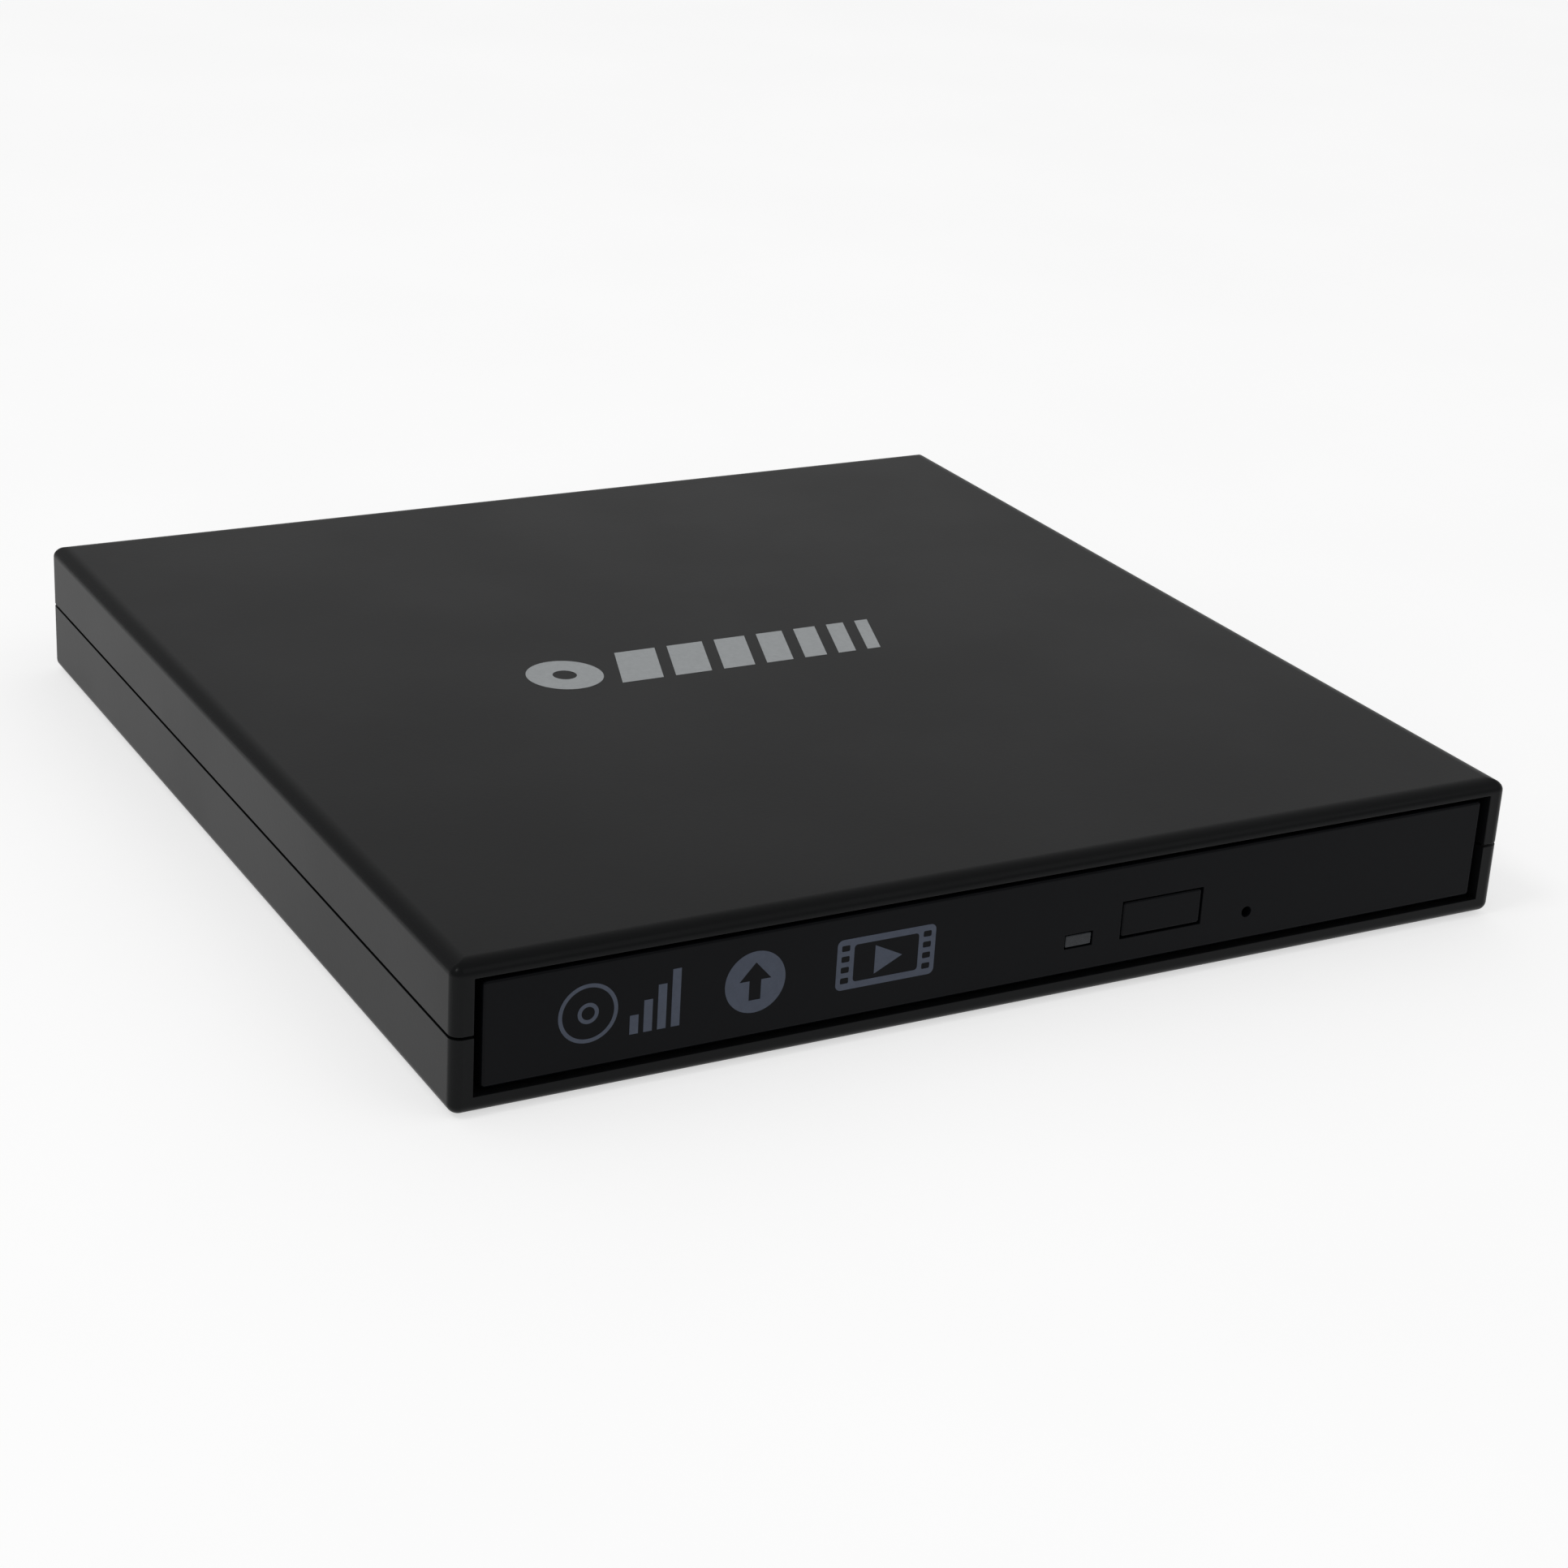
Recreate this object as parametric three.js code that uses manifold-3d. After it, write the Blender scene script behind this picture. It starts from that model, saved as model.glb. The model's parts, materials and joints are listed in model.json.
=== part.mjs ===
// A portable slim optical drive: a two-shell plastic case around a tray-loading drive and its USB board.
// Millimetres. +Z is up, the tray opens towards -Y, and the origin is under the middle of the case, on the
// surface that the rubber feet stand on. The tray is modelled closed.
import * as THREE from "three";
import { mergeVertices } from "three/addons/utils/BufferGeometryUtils.js";
import Module from "manifold-3d";

const wasm = await Module();
wasm.setup();

// ---- Driving dimensions ----

const GAP = 0.3; // clearance between neighbouring pieces
const CURVE_STEPS = 6; // segments of a small rounded corner

const CASE = { width: 134.8, depth: 137, height: 17.1, cornerR: 1.3 };
const WALL = { side: 2.4, back: 2, roof: 1.7, floor: 2 };
const FOOT = { height: 0.4, radius: 4.5, recess: 0.4, x: 54, y: 56 };
const SPLIT_Z = FOOT.height + 8.9; // where the two shells meet
const SPLIT_GAP = 0.3;

const FRONT_Y = -CASE.depth / 2;
const BACK_Y = CASE.depth / 2;
const SIDE_X = CASE.width / 2;
const FLOOR_Z = FOOT.height + WALL.floor; // inner face of the case's floor
const TOP_Z = FOOT.height + CASE.height;
const ROOF_Z = TOP_Z - WALL.roof; // inner face of the case's roof
const INNER_X = SIDE_X - WALL.side;
const INNER_BACK_Y = BACK_Y - WALL.back;

const BEZEL = { width: 128, height: 12.2, depth: 3, bottomZ: 3, plate: 1.4, rim: 1.3, frontY: FRONT_Y + 0.3 };
const BEZEL_BACK_Y = BEZEL.frontY + BEZEL.depth;

// The drive's sheet-steel chassis. A corner is cut away at the rear left for the connectors.
const DRIVE_FRONT_Y = BEZEL_BACK_Y + GAP;
const DRIVE = { width: 128, depth: 126.1, sheet: 0.6, bottomZ: 2.75, topZ: 15.45, frontY: DRIVE_FRONT_Y };
const DRIVE_BACK_Y = DRIVE_FRONT_Y + DRIVE.depth;
const DRIVE_FLOOR_Z = DRIVE.bottomZ + DRIVE.sheet;
const DRIVE_ROOF_Z = DRIVE.topZ - DRIVE.sheet;
const PAN_TOP_Z = 11.2; // the lower pan's walls end here, and the cover's flanges hang down to just above it
const NOTCH = { x: -28, y: 52.4 };

const SPINDLE_Y = -3; // the disc's centre with the tray closed
const TRAVERSE_ANGLE = (230 * Math.PI) / 180; // the way the lens moves out, towards the front left corner

const TRAY = { halfWidth: 62.6, deckZ: 9.9, rimZ: 13.9 };
const WELL = { z: 12, radius: 60.8, smallZ: 11.4, smallRadius: 40.5 };
const TRAY_FRONT_Y = BEZEL_BACK_Y + GAP;
const TRAY_BACK = { right: 60, left: 51.4, stepX: NOTCH.x + 0.9 };
const SKIRT = { outerX: 57.2, wall: 1.4, bottomZ: 4.9, backY: 51.4 };
const SHIELD_Z = [4.35, 4.75];
const RUNNER = { outerX: 60.4, z: [5.7, 7.3], y: [-30, 48] };
const RAIL = { outerX: 61.5, innerX: 58.6, sheet: 0.6, z: [4.7, 8.3], y: [-61, 50] };
const GUIDE = { outerX: 63.1, innerX: 59.8, wall: 0.7, web: 1.1, z: [3.6, 9.4], y: [-62, 51] };

// Features of the front panel, as [low, high] on each axis.
const BUTTON = { x: [13.8, 24.4], z: [6.3, 10.5], slack: 0.2 };
const LED_WINDOW = { x: [6.2, 9.9], z: [6.1, 7.85], slack: 0.15 };
const PINHOLE = { x: 31, z: 6.5, radius: 0.65 };

// The pickup's traverse, in its own frame: X runs outwards along the lens's travel and Y across it.
const LENS_X = 23.5;
const ROD = { y: 16, z: 7.2, radius: 1, boreR: 1.3, x: [9.5, 62.3] };
const SCREW = { y: 21, z: 7.2, radius: 1.2, tipR: 0.6, x: [14.3, 56.5] };
const SLED = { x: [14.5, 30], halfWidth: 18, z: [5.8, 8.8] };
const FRAME_PLATE_Z = [4.9, 5.5];
const COVER_PLATE_Z = [9.2, 9.6];

const BOARD = { bottomZ: 5.4, thickness: 1, x: [-59.4, -8], rightFrontY: 61.8, leftFrontY: 56, backY: 66.2 };
const BOARD_TOP_Z = BOARD.bottomZ + BOARD.thickness;
const USB = { x: -51, width: 7.7, height: 3.9, y: [58.2, 67.4], wall: 0.4 };
const JACK = { x: -38.5, width: 6.6, height: 5.6, y: [57.6, 67.4], holeR: 2.3, pinR: 0.6 };
const JACK_Z = BOARD_TOP_Z + 0.05 + JACK.height / 2;
const CASE_SCREW = { x: 62.2, y: 64.2, bossR: 2.2, seatR: 2.7, pilotR: 1.05 };
const DRIVE_SCREW = { x: 58, y: 20 };
const LOCK_POST = { x: 51.5, y: -55.6, radius: 0.9, topZ: 7.7 };
const LATCH = { x: 47, y: -40, z: [6, 7.4], pinR: 0.8, boreR: 1.1 };
const EJECTOR = { x: 43, z: 7.2, radius: 0.9, boreR: 1.3, collarR: 2 };

// ---- Materials ----

function material(color, roughness, metalness = 0) {
  return new THREE.MeshStandardMaterial({ color, roughness, metalness });
}

const MATERIALS = {
  caseBlack: material(0x1e1f21, 0.55),
  bezelBlack: material(0x17181b, 0.4),
  trayBlack: material(0x1b1c1e, 0.6),
  rubber: material(0x141414, 0.9),
  steel: material(0xa9abad, 0.35, 1),
  darkSteel: material(0x2a2b2d, 0.45, 0.8),
  rodSteel: material(0xd0d2d4, 0.15, 1),
  screwBlack: material(0x202122, 0.35, 0.9),
  boardGreen: material(0x155a2c, 0.5),
  chipBlack: material(0x121314, 0.5),
  connector: material(0xcfc8b8, 0.5),
  greyPlastic: material(0x9da1a6, 0.5),
  lightPipe: material(0x5b5f68, 0.25),
  whitePlastic: material(0xe4e2da, 0.45),
  copper: material(0xa4571f, 0.4, 0.9),
  flex: material(0xb97a2a, 0.4),
  glass: material(0x5a6f9c, 0.05),
  brass: material(0xb9984f, 0.3, 1),
};

// ---- Solids: three.js geometry, cut and joined by manifold-3d ----

// A closed three.js geometry as a manifold-3d solid.
function solid(geometry) {
  const bare = geometry.clone();
  for (const name of Object.keys(bare.attributes)) {
    if (name !== "position") bare.deleteAttribute(name);
  }
  const merged = mergeVertices(bare, 1e-4);
  const mesh = { numProp: 3, vertProperties: merged.attributes.position.array, triVerts: merged.index.array };
  return new wasm.Manifold(new wasm.Mesh({ ...mesh, triVerts: new Uint32Array(mesh.triVerts) }));
}

function geometryOf(manifold) {
  const mesh = manifold.getMesh();
  const geometry = new THREE.BufferGeometry();
  geometry.setAttribute("position", new THREE.BufferAttribute(new Float32Array(mesh.vertProperties), 3));
  geometry.setIndex(new THREE.BufferAttribute(mesh.triVerts, 1));
  geometry.computeVertexNormals();
  return geometry;
}

// base with additions joined on, then cuts taken out.
function carve(base, { add = [], cut = [] }) {
  let body = solid(base);
  for (const piece of add) body = body.add(solid(piece));
  for (const piece of cut) body = body.subtract(solid(piece));
  return geometryOf(body);
}

// ---- Basic shapes, each placed by its limits ----

function box([x0, x1], [y0, y1], [z0, z1]) {
  const block = new THREE.BoxGeometry(x1 - x0, y1 - y0, z1 - z0);
  return block.translate((x0 + x1) / 2, (y0 + y1) / 2, (z0 + z1) / 2);
}

const outline = (points) => new THREE.Shape(points.map(([x, y]) => new THREE.Vector2(x, y)));

// An outline in the XY plane, raised from z0 to z1.
function prism(shape, [z0, z1], curveSegments = CURVE_STEPS) {
  const options = { depth: z1 - z0, bevelEnabled: false, curveSegments };
  return new THREE.ExtrudeGeometry(shape, options).translate(0, 0, z0);
}

// An outline given in X and Z, drawn out along Y.
function bar(points, [y0, y1]) {
  const flipped = outline(points.map(([x, z]) => [x, -z]));
  return prism(flipped, [y0, y1]).rotateX(-Math.PI / 2);
}

function roundedRect([x0, x1], [y0, y1], r) {
  const shape = new THREE.Shape();
  shape.moveTo(x0 + r, y0);
  shape.lineTo(x1 - r, y0);
  shape.absarc(x1 - r, y0 + r, r, -Math.PI / 2, 0);
  shape.lineTo(x1, y1 - r);
  shape.absarc(x1 - r, y1 - r, r, 0, Math.PI / 2);
  shape.lineTo(x0 + r, y1);
  shape.absarc(x0 + r, y1 - r, r, Math.PI / 2, Math.PI);
  shape.lineTo(x0, y0 + r);
  shape.absarc(x0 + r, y0 + r, r, Math.PI, 1.5 * Math.PI);
  return shape;
}

// A cylinder along +Z, +X or +Y, from low to high on that axis.
function rod(radius, axis, [low, high], [a, b], segments = 20) {
  const geometry = new THREE.CylinderGeometry(radius, radius, high - low, segments);
  const middle = (low + high) / 2;
  if (axis === "z") return geometry.rotateX(Math.PI / 2).translate(a, b, middle);
  if (axis === "x") return geometry.rotateZ(Math.PI / 2).translate(middle, a, b);
  return geometry.translate(a, middle, b);
}

// A profile of [radius, z] points turned about Z. It starts and ends on the axis or closes on itself.
function turned(profile, segments = 32) {
  const points = profile.map(([r, z]) => new THREE.Vector2(r, z));
  return new THREE.LatheGeometry(points, segments).rotateX(Math.PI / 2);
}

const mirrorPoints = (points) => points.map(([x, z]) => [-x, z]).reverse();

// A slab with rounded corners in plan, whose top or bottom edge is rounded by a quarter ellipse.
function softSlab({ halfX, halfY, z, cornerR, top, bottom }) {
  const levels = [];
  const steps = 5;
  for (let i = 0; i <= steps; i += 1) {
    const angle = (i / steps) * (Math.PI / 2);
    if (bottom) levels.push([bottom[0] * (1 - Math.sin(angle)), z[0] + bottom[1] * (1 - Math.cos(angle))]);
  }
  if (!bottom) levels.push([0, z[0]]);
  if (!top) levels.push([0, z[1]]);
  for (let i = 0; i <= steps; i += 1) {
    const angle = (i / steps) * (Math.PI / 2);
    if (top) levels.push([top[0] * (1 - Math.cos(angle)), z[1] - top[1] * (1 - Math.sin(angle))]);
  }
  const ring = ([inset, height]) => {
    const r = Math.max(cornerR - inset, 0.15);
    const x = [-halfX + inset, halfX - inset];
    const y = [-halfY + inset, halfY - inset];
    return cornerPoints(roundedRect(x, y, r)).map((p) => [p.x, p.y, height]);
  };
  return loft(levels.map(ring));
}

// The points round a rounded rectangle's corners, always as many, so that rings of any size can be joined.
function cornerPoints(shape) {
  const corners = shape.curves.filter((curve) => curve.isEllipseCurve);
  return corners.flatMap((curve) => curve.getPoints(CURVE_STEPS));
}

// A closed solid through rings of points that all turn anticlockwise seen from above, lowest ring first.
function loft(rings) {
  const count = rings[0].length;
  const positions = rings.flat(2);
  const indices = [];
  for (let level = 0; level + 1 < rings.length; level += 1) {
    for (let i = 0; i < count; i += 1) {
      const a = level * count + i;
      const b = level * count + ((i + 1) % count);
      indices.push(a, b, b + count, a, b + count, a + count);
    }
  }
  const last = (rings.length - 1) * count;
  for (let i = 1; i + 1 < count; i += 1) {
    indices.push(0, i + 1, i);
    indices.push(last, last + i, last + i + 1);
  }
  const geometry = new THREE.BufferGeometry();
  geometry.setAttribute("position", new THREE.Float32BufferAttribute(positions, 3));
  geometry.setIndex(indices);
  return geometry;
}

function part(name, geometry, look, position = [0, 0, 0]) {
  const mesh = new THREE.Mesh(geometry, MATERIALS[look]);
  mesh.name = name;
  mesh.position.set(...position);
  return mesh;
}

function group(...children) {
  const made = new THREE.Group();
  made.add(...children);
  return made;
}

// ---- The case ----

const caseCavity = (z) => box([-INNER_X, INNER_X], [FRONT_Y - 1, INNER_BACK_Y], z);

// The holes for the two sockets, which straddle the line where the shells meet.
function socketCuts() {
  const usbZ = [BOARD_TOP_Z - 0.25, BOARD_TOP_Z + USB.height + 0.35];
  const usbX = [USB.x - USB.width / 2 - GAP, USB.x + USB.width / 2 + GAP];
  const jackX = [JACK.x - JACK.width / 2 - GAP, JACK.x + JACK.width / 2 + GAP];
  const jackZ = [BOARD_TOP_Z - 0.25, BOARD_TOP_Z + JACK.height + 0.35];
  const y = [INNER_BACK_Y - 0.5, BACK_Y + 1];
  return [box(usbX, y, usbZ), box(jackX, y, jackZ)];
}

function topShell() {
  const z = [SPLIT_Z + SPLIT_GAP / 2, TOP_Z];
  const slab = softSlab({ halfX: SIDE_X, halfY: BACK_Y, z, cornerR: CASE.cornerR, top: [2.2, 1.6] });
  const bosses = [-1, 1].map((side) => {
    return rod(CASE_SCREW.bossR, "z", [4.2, ROOF_Z + 0.5], [side * CASE_SCREW.x, CASE_SCREW.y]);
  });
  const pilots = [-1, 1].map((side) => {
    return rod(CASE_SCREW.pilotR, "z", [3, 12], [side * CASE_SCREW.x, CASE_SCREW.y], 12);
  });
  const ribs = [-50, -10, 30].flatMap((y) => {
    return [-1, 1].map((side) => sideRib(side, y, [SPLIT_Z + 1, ROOF_Z + 0.2]));
  });
  const hollow = carve(slab, { cut: [caseCavity([0, ROOF_Z])] });
  return carve(hollow, { add: [...bosses, ...ribs], cut: [...pilots, ...socketCuts()] });
}

// A small rib on the side wall that holds the drive clear of it.
function sideRib(side, y, z) {
  const x = [side * (INNER_X + 0.2), side * (DRIVE.width / 2 + 0.2)].sort((a, b) => a - b);
  return box(x, [y, y + 1.2], z);
}

function bottomShell() {
  const z = [FOOT.height, SPLIT_Z - SPLIT_GAP / 2];
  const slab = softSlab({ halfX: SIDE_X, halfY: BACK_Y, z, cornerR: CASE.cornerR, bottom: [1.2, 1.2] });
  const hollow = carve(slab, { cut: [caseCavity([FLOOR_Z, TOP_Z])] });
  const seats = [-1, 1].map((side) => {
    return rod(CASE_SCREW.seatR, "z", [FLOOR_Z - 0.5, 3.8], [side * CASE_SCREW.x, CASE_SCREW.y]);
  });
  const boardPosts = [-56, -33].map((x) => rod(1.4, "z", [FLOOR_Z - 0.5, BOARD.bottomZ - 0.1], [x, 60], 12));
  const ribs = [-50, -10, 30].flatMap((y) => {
    return [-1, 1].map((side) => sideRib(side, y, [FLOOR_Z - 0.2, SPLIT_Z - 1]));
  });
  const footRecesses = footPlaces().map(([x, y]) => {
    return rod(FOOT.radius + 0.2, "z", [FOOT.height - 1, FOOT.height + FOOT.recess], [x, y], 28);
  });
  const screwHoles = [-1, 1].flatMap((side) => [
    rod(1.1, "z", [0, 5], [side * CASE_SCREW.x, CASE_SCREW.y], 14),
    rod(2, "z", [0, 2.4], [side * CASE_SCREW.x, CASE_SCREW.y], 18),
    rod(1, "z", [0, 5], [side * DRIVE_SCREW.x, DRIVE_SCREW.y], 14),
    rod(1.9, "z", [0, FOOT.height + 1.4], [side * DRIVE_SCREW.x, DRIVE_SCREW.y], 18),
  ]);
  const labelRecess = prism(roundedRect([-32, 32], [-24, 24], 2), [0, FOOT.height + 0.25], 4);
  return carve(hollow, {
    add: [...seats, ...boardPosts, ...ribs],
    cut: [...footRecesses, ...screwHoles, labelRecess, ...socketCuts()],
  });
}

function footPlaces() {
  return [-1, 1].flatMap((sideY) => [-1, 1].map((sideX) => [sideX * FOOT.x, sideY * FOOT.y]));
}

function foot() {
  const top = FOOT.height + FOOT.recess - 0.05;
  return turned([[0, 0], [FOOT.radius - 0.5, 0], [FOOT.radius, 0.5], [FOOT.radius, top], [0, top]], 28);
}

// A countersunk or pan-headed screw standing on its head, with a cross recess.
function screw({ headR, headH, shankR, length }) {
  const cone = [[0, 0], [headR, 0], [headR, headH * 0.5], [shankR, headH], [shankR, length], [0, length]];
  const arm = headR * 0.55;
  const slot = 0.22;
  const recess = [
    box([-arm, arm], [-slot, slot], [-1, headH * 0.5]),
    box([-slot, slot], [-arm, arm], [-1, headH * 0.5]),
  ];
  return carve(turned(cone, 14), { cut: recess });
}

function caseParts() {
  const names = ["front_left", "front_right", "rear_left", "rear_right"];
  const feet = footPlaces().map(([x, y], i) => part(`foot_${names[i]}`, foot(), "rubber", [x, y, 0]));
  const caseScrew = screw({ headR: 1.75, headH: 1.1, shankR: 0.8, length: 9 });
  const driveScrew = screw({ headR: 1.65, headH: 0.7, shankR: 0.75, length: 1.4 });
  const sides = [[-1, "left"], [1, "right"]];
  const screws = sides.flatMap(([side, label]) => [
    part(`case_screw_${label}`, caseScrew, "screwBlack", [side * CASE_SCREW.x, CASE_SCREW.y, 1.25]),
    part(`drive_screw_${label}`, driveScrew, "screwBlack", [side * DRIVE_SCREW.x, DRIVE_SCREW.y, 1.15]),
  ]);
  return group(
    part("top_shell", topShell(), "caseBlack"),
    part("bottom_shell", bottomShell(), "caseBlack"),
    ...feet,
    ...screws,
  );
}

// ---- The USB bridge board behind the drive ----

function bridgeBoard() {
  const { x, leftFrontY, rightFrontY, backY } = BOARD;
  const edge = NOTCH.x - 2;
  const shape = outline([
    [x[0], leftFrontY], [edge, leftFrontY], [edge, rightFrontY],
    [x[1], rightFrontY], [x[1], backY], [x[0], backY],
  ]);
  return prism(shape, [BOARD.bottomZ, BOARD_TOP_Z]);
}

// The trapezium of a mini-B socket, in X and Z about its centre, inset from its outer faces.
function usbSection(inset) {
  const w = USB.width / 2 - inset;
  const top = USB.height - inset;
  return [
    [USB.x - w * 0.72, BOARD_TOP_Z + 0.05 + inset],
    [USB.x + w * 0.72, BOARD_TOP_Z + 0.05 + inset],
    [USB.x + w, BOARD_TOP_Z + 1.3],
    [USB.x + w, BOARD_TOP_Z + top],
    [USB.x - w, BOARD_TOP_Z + top],
    [USB.x - w, BOARD_TOP_Z + 1.3],
  ];
}

function bridgeParts() {
  const shellCut = bar(usbSection(USB.wall), [USB.y[0] + 0.5, USB.y[1] + 1]);
  const usbShell = carve(bar(usbSection(0), USB.y), { cut: [shellCut] });
  const tongueZ = [BOARD_TOP_Z + 1.9, BOARD_TOP_Z + 2.5];
  const tongue = box([USB.x - 2.4, USB.x + 2.4], [USB.y[0] + 0.8, USB.y[1] - 1], tongueZ);
  const jackX = [JACK.x - JACK.width / 2, JACK.x + JACK.width / 2];
  const jackBlock = box(jackX, JACK.y, [JACK_Z - JACK.height / 2, JACK_Z + JACK.height / 2]);
  const jackHole = rod(JACK.holeR, "y", [JACK.y[0] + 1.6, JACK.y[1] + 1], [JACK.x, JACK_Z], 20);
  const pin = rod(JACK.pinR, "y", [JACK.y[0] + 1.8, JACK.y[1] - 0.8], [JACK.x, JACK_Z], 12);
  const top = BOARD_TOP_Z + 0.05;
  return group(
    part("bridge_board", bridgeBoard(), "boardGreen"),
    part("usb_socket", usbShell, "steel"),
    part("usb_tongue", tongue, "chipBlack"),
    part("power_jack", carve(jackBlock, { cut: [jackHole] }), "chipBlack"),
    part("power_jack_pin", pin, "brass"),
    part("bridge_chip", box([-24, -18], [62, 66], [top, top + 1]), "chipBlack"),
    part("bridge_crystal", box([-15.6, -11.2], [62.6, 65.2], [top, top + 1.2]), "steel"),
    part("bridge_capacitor", rod(1.6, "z", [top, top + 3.6], [-32.6, 63], 16), "steel"),
    part("bridge_plug", box([-57, -33], [53.2, 55.7], [BOARD_TOP_Z - 1, BOARD_TOP_Z + 2.6]), "chipBlack"),
  );
}

// ---- The drive's fixed parts ----

// The chassis outline, inset from the sheet's outer face, with the connector corner cut away.
function chassisOutline(inset, frontY) {
  const x = DRIVE.width / 2 - inset;
  const notchX = NOTCH.x + inset;
  const notchY = NOTCH.y - inset;
  const back = DRIVE_BACK_Y - inset;
  return outline([[-x, frontY], [x, frontY], [x, back], [notchX, back], [notchX, notchY], [-x, notchY]]);
}

function driveBase() {
  const pan = prism(chassisOutline(0, DRIVE.frontY), [DRIVE.bottomZ, PAN_TOP_Z]);
  const inside = prism(chassisOutline(DRIVE.sheet, DRIVE.frontY - 1), [DRIVE_FLOOR_Z, PAN_TOP_Z + 1]);
  const connectorHole = box([-57.4, -32.6], [NOTCH.y - 2, NOTCH.y + 1], [4.8, 9.9]);
  const screwHoles = [-1, 1].map((side) => rod(0.95, "z", [2, 4], [side * DRIVE_SCREW.x, DRIVE_SCREW.y], 14));
  const vents = [-20, -8, 4, 16].map((x) => prism(roundedRect([x, x + 7], [34, 37], 1.4), [2, 4], 3));
  return carve(pan, { cut: [inside, connectorHole, ...screwHoles, ...vents] });
}

function driveCover() {
  const lid = prism(chassisOutline(0, DRIVE.frontY), [PAN_TOP_Z + GAP, DRIVE.topZ]);
  const inside = prism(chassisOutline(DRIVE.sheet, DRIVE.frontY - 1), [PAN_TOP_Z - 1, DRIVE_ROOF_Z]);
  return carve(lid, { cut: [inside] });
}

// A plastic channel on the chassis wall that opens inwards and carries the sliding rail.
function guideSection() {
  const { outerX, innerX, wall, web, z } = GUIDE;
  return [
    [innerX, z[0]], [outerX, z[0]], [outerX, z[1]], [innerX, z[1]],
    [innerX, z[1] - wall], [outerX - web, z[1] - wall], [outerX - web, z[0] + wall], [innerX, z[0] + wall],
  ];
}

function railSection() {
  const { outerX, innerX, sheet, z } = RAIL;
  return [
    [innerX, z[0]], [outerX, z[0]], [outerX, z[1]], [innerX, z[1]],
    [innerX, z[1] - sheet], [outerX - sheet, z[1] - sheet],
    [outerX - sheet, z[0] + sheet], [innerX, z[0] + sheet],
  ];
}

// A thin ribbon that runs forward along the chassis floor, turns back over itself and ends under the tray.
function flexCable() {
  const thickness = 0.16;
  const low = DRIVE_FLOOR_Z + 0.1;
  const high = SHIELD_Z[0] - 0.15;
  const bendY = -20.5;
  const endY = 43;
  const middle = (low + high) / 2;
  const outerR = (high - low) / 2;
  const shape = new THREE.Shape();
  shape.moveTo(endY, low);
  shape.lineTo(bendY, low);
  shape.absarc(bendY, middle, outerR, -Math.PI / 2, -1.5 * Math.PI, true);
  shape.lineTo(endY, high);
  shape.lineTo(endY, high - thickness);
  shape.lineTo(bendY, high - thickness);
  shape.absarc(bendY, middle, outerR - thickness, Math.PI / 2, 1.5 * Math.PI, false);
  shape.lineTo(endY, low + thickness);
  shape.closePath();
  // The outline is drawn in Y and Z: turning it stands it up, and its thickness then runs along X.
  const ribbon = new THREE.ExtrudeGeometry(shape, { depth: 16, bevelEnabled: false, curveSegments: 5 });
  return ribbon.rotateX(Math.PI / 2).rotateZ(Math.PI / 2).translate(-46, 0, 0);
}

function fixedDriveParts() {
  const postZ = [DRIVE_FLOOR_Z + 0.05, LOCK_POST.topZ];
  const post = rod(LOCK_POST.radius, "z", postZ, [LOCK_POST.x, LOCK_POST.y], 16);
  const board = box([-58, -30], [44.6, 51], [4.2, 5]);
  const connector = box([-57, -33], [45.6, 52.9], [5.1, 9.6]);
  return group(
    part("drive_base", driveBase(), "steel"),
    part("drive_cover", driveCover(), "steel"),
    part("rail_guide_left", bar(mirrorPoints(guideSection()), GUIDE.y), "whitePlastic"),
    part("rail_guide_right", bar(guideSection(), GUIDE.y), "whitePlastic"),
    part("lock_post", post, "rodSteel"),
    part("drive_board", board, "boardGreen"),
    part("drive_connector", connector, "chipBlack"),
    part("flex_cable", flexCable(), "flex"),
  );
}

function railParts() {
  return group(
    part("slide_rail_left", bar(mirrorPoints(railSection()), RAIL.y), "steel"),
    part("slide_rail_right", bar(railSection(), RAIL.y), "steel"),
  );
}

// ---- The tray ----

// The opening in the tray's floor over the spindle and the lens's travel, in the traverse's frame.
function traverseOpening(z) {
  const slot = prism(outline([[0, -19], [44, -19], [60.5, -8], [60.5, 8], [44, 19], [0, 19]]), z);
  return carve(slot, { add: [rod(15.6, "z", z, [0, 0], 40)] });
}

const intoTray = (geometry) => geometry.rotateZ(TRAVERSE_ANGLE).translate(0, SPINDLE_Y, 0);

function trayDeck() {
  const { halfWidth, deckZ, rimZ } = TRAY;
  const { right, left, stepX } = TRAY_BACK;
  const shape = outline([
    [-halfWidth, TRAY_FRONT_Y], [halfWidth, TRAY_FRONT_Y], [halfWidth, right],
    [stepX, right], [stepX, left], [-halfWidth, left],
  ]);
  const top = rimZ + 1;
  const well = rod(WELL.radius, "z", [WELL.z, top], [0, SPINDLE_Y], 72);
  const smallWell = rod(WELL.smallRadius, "z", [WELL.smallZ, top], [0, SPINDLE_Y], 56);
  const fingerSlots = [-1, 1].map((side) => rod(9, "z", [WELL.z, top], [side * 40, SPINDLE_Y + 49], 24));
  const opening = intoTray(traverseOpening([deckZ - 1, WELL.z + 1]));
  return carve(prism(shape, [deckZ, rimZ]), { cut: [well, smallWell, ...fingerSlots, opening] });
}

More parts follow.
